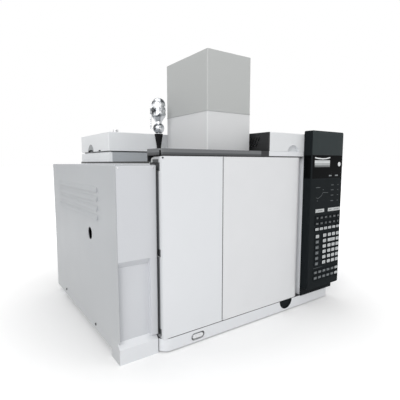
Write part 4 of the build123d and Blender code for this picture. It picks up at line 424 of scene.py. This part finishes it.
# ------------------------------------------------------------------ mesh pieces
def piece(name, bm, body, slot, material=None, bevel_mm=0.0, crease=35):
    """Turns a bmesh into a shown piece that rides on a body."""
    bmesh.ops.remove_doubles(bm, verts=bm.verts, dist=1e-6)
    bmesh.ops.recalc_face_normals(bm, faces=bm.faces)
    mesh = bpy.data.meshes.new(name)
    bm.to_mesh(mesh)
    bm.free()
    mesh.materials.append(material or finishes[slot])
    mesh.shade_smooth()
    mesh.set_sharp_from_angle(angle=math.radians(crease))
    made = bpy.data.objects.new(name, mesh)
    bpy.context.scene.collection.objects.link(made)
    if bevel_mm:
        bevel = made.modifiers.new("edges", "BEVEL")
        bevel.width = bevel_mm * MM
        bevel.segments = 2
        bevel.limit_method = "ANGLE"
    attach(made, body)
    return made


def loft(bm, rings, close=False, caps=True):
    """Skins a list of equal rings of points; close joins the last ring to the first."""
    layers = [[bm.verts.new(point) for point in ring] for ring in rings]
    pairs = list(zip(layers, layers[1:]))
    if close:
        pairs.append((layers[-1], layers[0]))
    for lower, upper in pairs:
        for i in range(len(lower)):
            j = (i + 1) % len(lower)
            bm.faces.new((lower[i], lower[j], upper[j], upper[i]))
    if caps and not close:
        bm.faces.new(layers[0])
        bm.faces.new(layers[-1])


def axes_for(normal):
    """Two directions square to a normal."""
    side = normal.cross(UP) if abs(normal.z) < 0.9 else normal.cross(BACK)
    side.normalize()
    return side, normal.cross(side).normalized()


def turned(bm, base, normal, profile, segments=24, lobes=0, lobe_from=0):
    """Lathe of (radius, height) pairs in metres; with lobes, rings from lobe_from on are stars."""
    lobe_depth = 0.16
    side, other = axes_for(normal)
    rings = []
    for index, (radius, height) in enumerate(profile):
        ring = []
        for i in range(segments):
            turn = 2 * math.pi * i / segments
            star = 1.0
            if lobes and index >= lobe_from:
                star += lobe_depth * math.cos(lobes * turn)
            ring.append(base + normal * height
                        + (side * math.cos(turn) + other * math.sin(turn)) * radius * star)
        rings.append(ring)
    loft(bm, rings)


def screw(bm, base, normal, radius):
    """Low round head with a six-lobed socket, its last two rings."""
    shares = ((1.0, -0.2), (1.0, 0.18), (0.88, 0.42), (0.62, 0.56), (0.42, 0.6), (0.4, 0.2))
    profile = [(across * radius, high * radius) for across, high in shares]
    turned(bm, base, normal, profile, lobes=6, lobe_from=4)


def screws(name, body, slot, normal, radius_mm, places):
    bm = bmesh.new()
    for place in places:
        screw(bm, place, normal, radius_mm * MM)
    return piece(name, bm, body, slot)


def rounded_outline(width, height, radius, steps=5):
    """Closed outline of a rounded rectangle about the origin."""
    points = []
    for cx, cy, start in ((1, 1, 0), (-1, 1, 90), (-1, -1, 180), (1, -1, 270)):
        for i in range(steps + 1):
            turn = math.radians(start + 90 * i / steps)
            points.append((cx * (width / 2 - radius) + radius * math.cos(turn),
                           cy * (height / 2 - radius) + radius * math.sin(turn)))
    return points


def stack(bm, centre, normal, layers):
    """Lofts outlines that stand square to the front or back; layers holds (height, outline)."""
    loft(bm, [[centre + RIGHT * x + UP * z + normal * out for x, z in outline]
              for out, outline in layers])


def pad(bm, centre, width, height, rise, radius, sink=0.0006, crown=0.25):
    """Rounded key cap facing the front, with a soft edge and a slightly dished top."""
    steps = ((0.0, -sink), (0.0, 0.62 * rise), (0.18 * rise, 0.88 * rise), (0.5 * rise, rise))
    least_radius, dish = 0.0002, 0.6
    layers = [(out, rounded_outline(width - 2 * inset, height - 2 * inset,
                                    max(radius - inset, least_radius))) for inset, out in steps]
    layers.append((rise * (1 - crown * 0.5),
                   rounded_outline(width * dish, height * dish, radius * dish)))
    stack(bm, centre, -BACK, layers)


def bar(bm, start, end, width, out=0.00025, normal=-BACK):
    """Thin printed mark from start to end, standing a hair proud of the surface."""
    along = (end - start).normalized()
    side = along.cross(normal) * width / 2
    corners = [start - side, start + side, end + side, end - side]
    loft(bm, [[corner + normal * level for corner in corners] for level in (-HAIR, out)])


def block(bm, lo, hi):
    """Box between two corners."""
    made = bmesh.ops.create_cube(bm, size=1.0)
    size, centre = hi - lo, (hi + lo) / 2
    bmesh.ops.transform(bm, matrix=Matrix.Translation(centre) @ Matrix.Diagonal((*size, 1.0)),
                        verts=made["verts"])


def glyph(text, place, size):
    """Mesh data of a plain figure that stands on the panel face."""
    rise = 0.00008
    curve = bpy.data.curves.new("figure", "FONT")
    curve.body = text
    curve.size = size
    curve.extrude = rise
    curve.align_x = curve.align_y = "CENTER"
    holder = bpy.data.objects.new("figure", curve)
    bpy.context.scene.collection.objects.link(holder)
    bpy.context.view_layer.update()
    mesh = bpy.data.meshes.new_from_object(holder)
    mesh.transform(Matrix.Translation(place) @ Matrix.Rotation(math.pi / 2, 4, "X"))
    bpy.data.objects.remove(holder)
    return mesh


def front_islands(node, depth=0.0004):
    """Centre, width and height of every separate flat front face of a node, from the top down."""
    mesh = nodes[node].data
    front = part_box(node)[0].y
    found, parent = {}, {}

    def root(key):
        while parent[key] != key:
            key = parent[key]
        return key

    for face in mesh.polygons:
        keys = [tuple(round(c, 5) for c in mesh.vertices[v].co) for v in face.vertices]
        if face.normal.y > -0.9 or max(abs(key[1] - front) for key in keys) > depth:
            continue
        for key in keys:
            parent.setdefault(key, key)
        for key in keys[1:]:
            parent[root(key)] = root(keys[0])
    for key in parent:
        found.setdefault(root(key), []).append(key)
    islands = []
    for keys in found.values():
        xs, zs = [k[0] for k in keys], [k[2] for k in keys]
        islands.append((Vector(((min(xs) + max(xs)) / 2, front, (min(zs) + max(zs)) / 2)),
                        max(xs) - min(xs), max(zs) - min(zs)))
    return sorted(islands, key=lambda island: (-round(island[0].z, 3), island[0].x))


# ------------------------------------------------------------------ keypad and display
WHITE_MARK = moulded("white_mark", srgb(150, 154, 155), 0.5, 0.1)
FAINT_MARK = moulded("faint_mark", srgb(84, 89, 91), 0.5, 0.1)
DARK_MARK = moulded("dark_mark", srgb(120, 124, 126), 0.5, 0.1)
GREY_KEY = moulded("grey_key", srgb(78, 83, 86), 0.55, 0.3)
BLACK_KEY = moulded("black_key", srgb(30, 33, 35), 0.55, 0.3, gloss=0.04)
WHITE_KEY = moulded("white_key", srgb(194, 197, 198), 0.5, 0.25)
BRIGHT_MARK = moulded("bright_mark", srgb(226, 229, 230), 0.4, 0.1)
TALLEST_KEY = 0.02  # a higher face is the mat's own and no key
SAME_ROW = 0.004  # keys of one row differ by less than this in height
FIGURES = ("789", "456", "123", "0.-")
FIGURE_ROWS, FIGURE_COLUMNS = range(5, 9), range(1, 4)


def keypad_rows():
    """The small keys as rows from the top, each row from the left."""
    rows = []
    for island in front_islands("keypad_mat"):
        if island[2] > TALLEST_KEY:
            continue
        if rows and abs(rows[-1][0][0].z - island[0].z) < SAME_ROW:
            rows[-1].append(island)
        else:
            rows.append([island])
    return [sorted(row, key=lambda island: island[0].x) for row in rows]


def key_tone(row, column, count):
    """Which caps are white, grey or black, going down the pad."""
    if row < 2:
        return "black"
    if row == 2:
        return "white"
    if row < 9:
        return "white" if column or row == 3 else "grey"
    return "white" if column == count - 1 else "grey"


def make_keypad():
    """Caps on the small keys, each with a figure or two plain bars, by tone."""
    caps = {tone: bmesh.new() for tone in ("white", "grey", "black")}
    marks = {tone: bmesh.new() for tone in ("white", "grey", "black")}
    cap_lift, cap_rise, cap_radius, mark_level = UP * 0.0004, 0.0003, 0.0016, 0.00026
    rim_x, rim_z = 0.0014, 0.0020
    figure_size, bar_step, bar_width, bar_rise = 0.0062, 0.0014, 0.0009, 0.00008
    for row, keys in enumerate(keypad_rows()):
        for column, (centre, width, height) in enumerate(keys):
            tone = key_tone(row, column, len(keys))
            pad(caps[tone], centre + cap_lift, width - rim_x, height - rim_z, cap_rise, cap_radius)
            face = centre - BACK * mark_level
            if row in FIGURE_ROWS and column in FIGURE_COLUMNS:
                text = FIGURES[row - FIGURE_ROWS.start][column - FIGURE_COLUMNS.start]
                mesh = glyph(text, face, figure_size)
                marks[tone].from_mesh(mesh)
                bpy.data.meshes.remove(mesh)
                continue
            reach = RIGHT * (width * (0.3 if (row + column) % 3 else 0.22))
            for step in (-1, 1):
                at = face + UP * bar_step * step
                bar(marks[tone], at - reach, at + reach, bar_width, bar_rise)
    for tone, material, ink in (("white", WHITE_KEY, DARK_MARK), ("grey", GREY_KEY, WHITE_MARK),
                                ("black", BLACK_KEY, WHITE_MARK)):
        piece(f"key_caps_{tone}", caps[tone], "root", "key_plastic", material)
        piece(f"key_marks_{tone}", marks[tone], "root", "mat_rubber", ink)


def make_large_key_marks():
    """Three dashes on each of the large keys, which ride on the keys' own bodies."""
    for body, share in (("key_stop", 0.3), ("key_prep_run", 0.3), ("key_start", 0.32)):
        lo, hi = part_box(body)
        bm = bmesh.new()
        half = (hi.x - lo.x) * share
        centre = Vector(((lo.x + hi.x) / 2, lo.y, (lo.z + hi.z) / 2))
        for dash in range(3):
            start = centre + RIGHT * half * (dash * 0.68 - 1.0)
            bar(bm, start, start + RIGHT * half * 0.55, 0.0026, 0.0001)
        piece(f"{body}_mark", bm, body, "mat_rubber", DARK_MARK)


def tube(bm, points, radius, segments=8, steps=10):
    """Round tube along a smooth curve through its points."""
    path = [points[0]]
    ends = [points[0] * 2 - points[1]] + list(points) + [points[-1] * 2 - points[-2]]
    for a, b, c, d in zip(ends, ends[1:], ends[2:], ends[3:]):
        for i in range(1, steps + 1):
            t = i / steps
            path.append(0.5 * (2 * b + (c - a) * t + (2 * a - 5 * b + 4 * c - d) * t ** 2
                               + (3 * b - a - 3 * c + d) * t ** 3))
    turns = [2 * math.pi * k / segments for k in range(segments)]
    rings = []
    side = None
    for i, point in enumerate(path):
        along = (path[min(i + 1, len(path) - 1)] - path[max(i - 1, 0)]).normalized()
        side = axes_for(along)[0] if side is None else (side - along * side.dot(along)).normalized()
        other = along.cross(side)
        rings.append([point + (side * math.cos(t) + other * math.sin(t)) * radius for t in turns])
    loft(bm, rings)


# ------------------------------------------------------------------ display and panel face
def panel_at(x, z, out=0.0):
    """Point on the panel face, in millimetres of the mainframe."""
    return Vector((mm(x, 0, 0).x, PANEL_LO.y - out * MM, z * MM))


def polyline(bm, points, width):
    """Bars from point to point."""
    for start, end in zip(points, points[1:]):
        bar(bm, start, end, width)


def make_fascia():
    """Plain plate at the top of the panel, and the window where it turns round the panel's side."""
    top, low = 492.4, 428.6
    bm = bmesh.new()
    centre = Vector(((PANEL_LO.x + PANEL_HI.x) / 2, PANEL_LO.y, (top + low) / 2 * MM))
    pad(bm, centre, PANEL_HI.x - PANEL_LO.x - 0.004, (top - low) * MM, 0.0004, 0.0035,
        sink=0.0003, crown=0.0)
    piece("panel_fascia", bm, "root", "panel_plastic",
          moulded("fascia", srgb(56, 62, 63), 0.5, gloss=0.04))
    bm = bmesh.new()
    block(bm, Vector((PANEL_LO.x - 0.0003, PANEL_LO.y + 0.002, 0.3652)),
          Vector((PANEL_LO.x + 0.0004, DOOR_LO.y - 0.003, 0.4278)))
    piece("window_flank", bm, "root", "window", bevel_mm=0.15)


def make_display():
    """Lit screen with its curved bright upper edge, and the plain disc at its right."""
    screen_height, screen_size = 0.4055, (0.067, 0.019)
    lo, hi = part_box("display_module")
    bm = bmesh.new()
    centre = Vector(((lo.x + hi.x) / 2, PANEL_LO.y, screen_height))
    pad(bm, centre, *screen_size, 0.0003, 0.001, sink=0.0002, crown=0.0)
    piece("lcd_screen", bm, "root", "lcd", screen("screen"))
    edge = ((459, 421.5), (474, 419.6), (492, 418.6), (510, 419.4), (526, 422.5))
    bm = bmesh.new()
    polyline(bm, [panel_at(x, z, 0.3) for x, z in edge], 0.0032)
    piece("lcd_top_edge", bm, "root", "lens", BRIGHT_MARK)
    profile = [(6.2, -0.2), (6.2, 0.5), (5.8, 0.8), (4.8, 1.0), (4.5, 0.85), (0.5, 0.9)]
    bm = bmesh.new()
    turned(bm, panel_at(570, 404), -BACK, [(r * MM, h * MM) for r, h in profile], 40)
    piece("panel_disc", bm, "root", "key_plastic", BRIGHT_MARK)


def make_panel_lines():
    """Printed curve between the display and the keypad, with plain dashes for its captions."""
    curve = ((470, 312), (479, 310), (492, 316), (500, 325), (523, 324))
    fine, thin, broad = 0.0008, 0.0016, 0.0020
    bm = bmesh.new()
    polyline(bm, [panel_at(x, z) for x, z in curve], 0.0011)
    for x0, x1, z in ((468, 486, 340), (498, 503, 333), (474, 478, 303)):
        bar(bm, panel_at(x0, z), panel_at(x1, z), thin)
    for z in (345, 331, 316, 300):
        bar(bm, panel_at(536, z), panel_at(548, z), broad)
        bar(bm, panel_at(566, z), panel_at(571, z), thin)
    bar(bm, panel_at(468, 112), panel_at(506, 112), fine)
    piece("panel_lines", bm, "root", "mat_rubber", FAINT_MARK)


# ------------------------------------------------------------------ screws and small fittings
def spots(body_name, node, side, radius_mm, places, slot="steel"):
    """Screws on one flat side of a node; places are two layout coordinates in millimetres."""
    lo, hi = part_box(node)
    normal = {"right": RIGHT, "front": -BACK, "back": BACK, "top": UP, "under": -UP}[side]
    points = []
    for u, v in places:
        if side == "right":
            at = mm(0, u, v)
            at.x = hi.x
        elif side in ("front", "back"):
            at = mm(u, 0, v)
            at.y = lo.y if side == "front" else hi.y
        else:
            at = mm(u, v, 0)
            at.z = lo.z if side == "under" else hi.z
        points.append(at)
    screws(f"{node}_screws_{side}", body_name, slot, normal, radius_mm, points)


def make_screws():
    """Screws that hold the panels, the covers and the side cabinet."""
    spots("oven_door", "door_skin_left", "front", 2.0, [(7.7, 418.4)], "dark_paint")
    spots("oven_door", "door_pan", "back", 2.6,
          [(x, z) for x in (30, 225, 412) for z in (40, 412)])
    spots("root", "side_cabinet_front", "front", 2.0, [(-82, 398), (-9, 398)])
    spots("root", "right_side_panel", "right", 2.3,
          [(y, z) for y in (20, 270, 525) for z in (45, 425)] + [(20, 235), (525, 235)])
    spots("root", "rear_panel", "back", 3.0,
          [(x, z) for x in (12, 200, 400, 573) for z in (44, 398)]
          + [(12, 220), (573, 220), (573, 428)])
    spots("electronics_cover", "electronics_cover", "top", 2.6, [(330, 505), (565, 505)])
    spots("valve_box_lid", "valve_box_lid", "top", 2.4, [(16, 512), (224, 512), (224, 300)])
    for side, edges in (("right", (75, 239)), ("back", (177, 285))):
        spots("root", "tower_cover", side, 2.4,
              [(edge, z) for edge in edges for z in (425, 545, 660)])
    spots("root", "base_pan", "under", 3.0,
          [(x, y) for x in (40, 292, 545) for y in (70, 290, 510)], "zinc")
    wall = -88.1
    screws("cabinet_side_screws", "root", "dark_paint", -RIGHT, 3.4,
           [mm(wall, y, z) for y, z in ((425.6, 33.4), (159.3, 30.7))])
    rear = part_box("side_cabinet_shell")[1].y
    places = [mm(x, 0, z) for x in (-80, -9) for z in (60, 300, 392)]
    screws("cabinet_rear_screws", "root", "steel", BACK, 2.4,
           [Vector((place.x, rear, place.z)) for place in places])


def make_lid_marks():
    """Painted shade of an arched notch low on the lid's left side, with a darker painted shadow
    along its bottom, a small dark spot beside it, and the seam of the tray below.
    """
    sunk, notch_at, spot_at, half, arch_steps = -0.4, (434.5, 440.8), (355, 442.2), 24.0, 20
    arch, dark = bmesh.new(), bmesh.new()

    def on_side(y, z, out, x=0.0):
        at = mm(x, y, z)
        at.x -= out * MM
        return at

    # Painted shade inside the arched notch, and a darker painted shadow along its bottom.
    for target, rise, out in ((arch, 21.5, 0.35), (dark, 5.0, 0.6)):
        ring = [(notch_at[0] + half * math.cos(t), notch_at[1] + rise * math.sin(t))
                for t in (math.pi * k / arch_steps for k in range(arch_steps + 1))]
        loft(target, [[on_side(y, z, level) for y, z in ring] for level in (sunk, out)])
    loft(dark, [[on_side(spot_at[0] + y, spot_at[1] + z, level)
                 for y, z in rounded_outline(15, 3.2, 1.2)] for level in (sunk, 0.5)])
    # The painted notch shade rides on the lid; the dark piece holds its painted shadow and the dark
    # spot.
    piece("lid_notch_shade", arch, "valve_box_lid", "grey_paint", paint("notch_shade_paint", srgb(150, 153, 155)))
    piece("lid_notch_shadow_and_spot", dark, "valve_box_lid", "rubber")
    seam = bmesh.new()
    ends = [on_side(385, z, 0.0, 8.0) for z in (411.5, 438.0)]
    bar(seam, *ends, 0.0048, 0.00015, -RIGHT)
    piece("tray_seam", seam, "root", "rubber")


def make_tower_seam():
    """Thin folded lip where the upper tower cover sits over the lower one."""
    lo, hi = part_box("tower_cover")
    middle = (lo + hi) / 2
    sunk, out, corner = -0.0004, 0.0007, 0.003
    rings = []
    for rise, grow in ((-0.0009, sunk), (-0.0009, out), (0.0009, out), (0.0022, sunk)):
        outline = rounded_outline(hi.x - lo.x + 2 * grow, hi.y - lo.y + 2 * grow, corner + grow)
        rings.append([Vector((middle.x + x, middle.y + y, TOWER_SEAM + rise))
                      for x, y in outline])
    bm = bmesh.new()
    loft(bm, rings, caps=False)
    piece("tower_lip", bm, "root", "grey_paint", paint("lip_paint", srgb(172, 174, 174), 0.46))


def make_rear_fittings():
    """Three pin sockets, two jacks and a fuse drawer on the rear panel."""
    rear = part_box("rear_panel")[1].y
    row_z, sunk, pitch = 180, -0.0004, 2.8
    pin = [(0.0004, 0), (0.0004, 0.0006), (0.0002, 0.0009)]
    post = [(0.0024, 0), (0.0024, 0.004), (0.0018, 0.0046), (0.0009, 0.0046), (0.0009, 0.002)]
    plate, dark, pins = bmesh.new(), bmesh.new(), bmesh.new()

    def on_rear(x, z, out=0.0):
        at = mm(x, 0, z)
        return Vector((at.x, rear + out * MM, at.z))

    for x in (330, 385, 440):
        for half_w, half_h, rise, target in ((19.5, 6.3, 1.0, plate), (10.5, 4.6, 5.6, dark)):
            outline = rounded_outline(2 * half_w * MM, 2 * half_h * MM, 2.2 * MM)
            stack(target, on_rear(x, row_z), BACK, [(sunk, outline), (rise * MM, outline)])
        for k in range(9):  # five pins over four
            row, offset = (1.4, k - 2) if k < 5 else (-1.4, k - 6.5)
            turned(pins, on_rear(x + offset * pitch, row_z + row, 5.2), BACK, pin, 10)
        for side in (-15.5, 15.5):
            turned(plate, on_rear(x + side, row_z, 0.8), BACK, post, 6)
    frame_outline = rounded_outline(0.017, 0.015, 0.0008)
    mouth = rounded_outline(0.012, 0.0085, 0.0005)
    for x in (500, 530):
        stack(plate, on_rear(x, row_z), BACK,
              [(sunk, frame_outline), (0.003, frame_outline), (0.003, mouth), (0.0006, mouth)])
    drawer = rounded_outline(0.03, 0.022, 0.002)
    steps = ((sunk, 1.0), (0.0026, 1.0), (0.0034, 0.94), (0.0034, 0.6), (0.0028, 0.56))
    stack(dark, on_rear(515, 115), BACK,
          [(out, [(u * share, v * share) for u, v in drawer]) for out, share in steps])
    piece("rear_sockets", plate, "root", "zinc", bevel_mm=0.2)
    piece("rear_inserts", dark, "root", "panel_plastic", bevel_mm=0.2)
    piece("rear_pins", pins, "root", "brass")


def make_columns():
    """Fine tails of the wound column, from the winding to the port nuts, and its tie wires."""
    lo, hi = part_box("column_coil")
    middle = (lo + hi) / 2
    radius = (hi.x - lo.x) / 2 - 0.002
    tail_radius, tie_radius, ties = 0.00045, 0.0005, 8
    bm = bmesh.new()
    for nut, turn in ((mm(108, 105, 362.5), -24), (mm(231, 157, 367.0), 12)):
        angle = math.radians(turn)
        way = math.copysign(1, turn)
        start = middle + Vector((math.sin(angle) * radius, 0, math.cos(angle) * radius))
        start.y = middle.y + 0.006 * way
        along = Vector((math.cos(angle), 0, -math.sin(angle))) * -way
        points = [start, start - along * 0.03 + UP * 0.0112,
                  nut - UP * 0.026 + (start - nut) * 0.1, nut - UP * 0.012, nut]
        tube(bm, points, tail_radius, 8, 12)
    piece("column_tails", bm, "root", "column")
    bm = bmesh.new()
    r_in, r_out, half = radius - 0.0068, radius + 0.0024, (hi.y - lo.y) / 2 + 0.0003
    for step in range(ties):
        angle = 2 * math.pi * step / ties
        out = Vector((math.cos(angle), 0, math.sin(angle)))
        side = Vector((-math.sin(angle), 0, math.cos(angle)))
        ring = [middle + out * r_in - BACK * half, middle + out * r_out - BACK * half,
                middle + out * r_out + BACK * half, middle + out * r_in + BACK * half]
        for a, b in zip(ring, ring[1:] + ring[:1]):
            tube(bm, [a, (a + b) / 2 + side * 0.0002, b], tie_radius, 6, 3)
    piece("column_ties", bm, "root", "steel")


def make_boards():
    """Capacitors, chips and a heat sink on the main board."""
    parts_reach, board = 0.0102, 0.0016
    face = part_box("main_board")[1].x - parts_reach - board
    base = mm(0, 40, 60)
    can = [(0.0052, 0), (0.0052, 0.011), (0.0046, 0.0118), (0.0042, 0.0114), (0.001, 0.0114)]
    caps, chips, fins = bmesh.new(), bmesh.new(), bmesh.new()

    def at_board(y, z, out=0.0):
        return Vector((face - out, base.y + y, base.z + z))

    for k in range(7):
        turned(caps, at_board(0.03 + 0.016 * k, 0.02), -RIGHT, can, 16)
    for row in range(3):
        for k in range(12):
            block(chips, at_board(0.12 + 0.009 * k, 0.112 + 0.03 * row, 0.0024),
                  at_board(0.1245 + 0.009 * k, 0.119 + 0.03 * row))
    for k in range(9):
        block(fins, at_board(0.19 + 0.0045 * k, 0.19, 0.012),
              at_board(0.1918 + 0.0045 * k, 0.235))
    piece("board_capacitors", caps, "root", "motor", bevel_mm=0.2)
    piece("board_chips", chips, "root", "panel_plastic", bevel_mm=0.2)
    piece("board_heat_sink", fins, "root", "aluminium", bevel_mm=0.2)


def make_winding():
    """Turns of wire round the ring-shaped transformer in the power supply."""
    lo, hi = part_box("power_supply")
    middle = Vector(((lo.x + hi.x) / 2, lo.y + 0.040, 0.033))
    turns, r_in, r_out, top = 48, 0.0112, 0.0366, UP * 0.0233
    bm = bmesh.new()
    for k in range(turns):
        angle = 2 * math.pi * k / turns
        out = Vector((math.cos(angle), math.sin(angle), 0))
        a, b = middle + out * r_in, middle + out * r_out
        tube(bm, [a + top * 0.1, a + top, b + top, b - top * 0.6], 0.0011, 6, 3)
    piece("transformer_winding", bm, "root", "column")


# ------------------------------------------------------------------ wool and door seal
def softened(name, body, node):
    """Wool batt: the node's own space, remeshed fine, rounded and pulled in unevenly."""
    voxel, ripple, shrink = 0.006, 0.0012, 0.0004
    mesh = nodes[node].data.copy()
    holder = bpy.data.objects.new(name, mesh)
    bpy.context.scene.collection.objects.link(holder)
    remesh = holder.modifiers.new("remesh", "REMESH")
    remesh.mode = "VOXEL"
    remesh.voxel_size = voxel
    smooth = holder.modifiers.new("smooth", "SMOOTH")
    smooth.iterations = 6
    depsgraph = bpy.context.evaluated_depsgraph_get()
    made = bpy.data.meshes.new_from_object(holder.evaluated_get(depsgraph))
    bpy.data.objects.remove(holder)
    bm = bmesh.new()
    bm.from_mesh(made)
    bm.normal_update()
    for vert in bm.verts:
        wave = noise.noise(vert.co * 28.0) + 0.5 * noise.noise(vert.co * 75.0)
        vert.co -= vert.normal * (shrink + ripple * (wave + 1.5) / 3)
    batt = piece(name, bm, body, "wool", crease=180)
    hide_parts(node)


def make_seal():
    """Flat braided gasket round the oven mouth on the back of the door."""
    lo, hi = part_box("door_gasket")
    band, spacing, segments, strands = 0.010, 0.0022, 16, 4
    middle = (lo + hi) / 2
    outline = rounded_outline(hi.x - lo.x - band, hi.z - lo.z - band, 0.008, 8)
    loop = [Vector((x, 0, z)) for x, z in outline]
    path = []
    for a, b in zip(loop, loop[1:] + loop[:1]):
        count = max(1, round((b - a).length / spacing))
        path += [a.lerp(b, k / count) for k in range(count)]
    bm = bmesh.new()
    rings = []
    for i, point in enumerate(path):
        along = (path[(i + 1) % len(path)] - path[i - 1]).normalized()
        out = BACK.cross(along).normalized()
        ring = []
        for k in range(segments):
            turn = 2 * math.pi * k / segments
            braid = 1 - 0.06 * (0.5 + 0.5 * math.cos(strands * turn + i * 2 * math.pi / 3))
            flat = math.copysign(abs(math.sin(turn)) ** 0.55, math.sin(turn))
            wide = math.copysign(abs(math.cos(turn)) ** 0.75, math.cos(turn))
            ring.append(middle + point + out * wide * 0.0049 * braid
                        + BACK * flat * (hi.y - lo.y) / 2 * 0.98 * braid)
        rings.append(ring)
    loft(bm, rings, close=True)
    seal = piece("door_seal", bm, "oven_door", "wool",
                 woven("braid", srgb(214, 208, 190), srgb(158, 150, 128)), crease=180)
    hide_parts("door_gasket")


make_camera()
make_keypad()
make_large_key_marks()
make_fascia()
make_display()
make_panel_lines()
make_screws()
make_lid_marks()
make_tower_seam()
make_rear_fittings()
make_columns()
make_boards()
make_winding()
softened("oven_wool", "root", "oven_insulation")
softened("door_wool", "oven_door", "door_insulation")
make_seal()


# ------------------------------------------------------------------ floor and lights
WORLD_LIGHT = 0.38  # what the studio adds to the lamps
FLOOR_REACH = 30.0  # half the floor's side
FLOOR_GLOW = (0.07, 0.85)  # near the object and far from it, for rays that the camera sees
GLOW_FROM, GLOW_TO = 0.35, 1.3  # distances from the object between which the glow rises
LAMPS_AIM = Vector((0, 0, 0.3))


def seen_or_mirrored(tree):
    """1 for rays from the camera and for those that gloss or glass send on."""
    rays = tree.nodes.new("ShaderNodeLightPath")
    level = rays.outputs["Is Camera Ray"]
    for ray in ("Is Glossy Ray", "Is Transmission Ray"):
        either = tree.nodes.new("ShaderNodeMath")
        either.operation = "MAXIMUM"
        tree.links.new(level, either.inputs[0])
        tree.links.new(rays.outputs[ray], either.inputs[1])
        level = either.outputs[0]
    return level


def make_stage():
    """Pale floor that keeps the object's shadow and fades to white away from it."""
    corners = [(FLOOR_REACH * x, FLOOR_REACH * y, 0)
               for x, y in ((-1, -1), (1, -1), (1, 1), (-1, 1))]
    mesh = bpy.data.meshes.new("floor")
    mesh.from_pydata(corners, [], [(0, 1, 2, 3)])
    floor = bpy.data.objects.new("floor", mesh)
    bpy.context.scene.collection.objects.link(floor)
    material = bpy.data.materials.new("floor")
    material.use_nodes = True
    tree = material.node_tree
    body = tree.nodes["Principled BSDF"]
    body.inputs["Base Color"].default_value = srgb(240, 240, 240)
    body.inputs["Roughness"].default_value = 0.9
    reach = tree.nodes.new("ShaderNodeVectorMath")
    reach.operation = "LENGTH"
    tree.links.new(tree.nodes.new("ShaderNodeTexCoord").outputs["Object"], reach.inputs[0])
    level = tree.nodes.new("ShaderNodeMapRange")
    level.inputs["From Min"].default_value = GLOW_FROM
    level.inputs["From Max"].default_value = GLOW_TO
    level.inputs["To Min"].default_value = FLOOR_GLOW[0]
    level.inputs["To Max"].default_value = FLOOR_GLOW[1]
    tree.links.new(reach.outputs["Value"], level.inputs["Value"])
    glow = tree.nodes.new("ShaderNodeMath")
    glow.operation = "MULTIPLY"
    tree.links.new(seen_or_mirrored(tree), glow.inputs[0])
    tree.links.new(level.outputs["Result"], glow.inputs[1])
    body.inputs["Emission Color"].default_value = (1, 1, 1, 1)
    tree.links.new(glow.outputs[0], body.inputs["Emission Strength"])
    mesh.materials.append(material)


def make_world():
    """White studio: white where it is seen, dimmer as a light."""
    world = bpy.data.worlds.new("studio")
    bpy.context.scene.world = world
    world.use_nodes = True
    tree = world.node_tree
    background = tree.nodes["Background"]
    background.inputs["Color"].default_value = (1, 1, 1, 1)
    level = tree.nodes.new("ShaderNodeMapRange")
    level.inputs["To Min"].default_value = WORLD_LIGHT
    level.inputs["To Max"].default_value = 1.0
    tree.links.new(seen_or_mirrored(tree), level.inputs["Value"])
    tree.links.new(level.outputs["Result"], background.inputs["Strength"])


def soft_light(name, place, size, power):
    """Rectangular lamp aimed at the object."""
    data = bpy.data.lights.new(name, "AREA")
    data.shape = "RECTANGLE"
    data.size, data.size_y = size
    data.energy = power
    lamp = bpy.data.objects.new(name, data)
    lamp.location = place
    lamp.rotation_euler = (LAMPS_AIM - Vector(place)).to_track_quat("-Z", "Y").to_euler()
    bpy.context.scene.collection.objects.link(lamp)


make_stage()
make_world()
soft_light("key", (-2.2, -2.0, 1.8), (2.2, 1.8), 54)
soft_light("fill", (1.6, -2.0, 2.3), (1.8, 1.6), 12)
soft_light("top", (0.0, 0.2, 3.0), (2.6, 2.6), 30)
bpy.context.scene.view_settings.view_transform = "Standard"
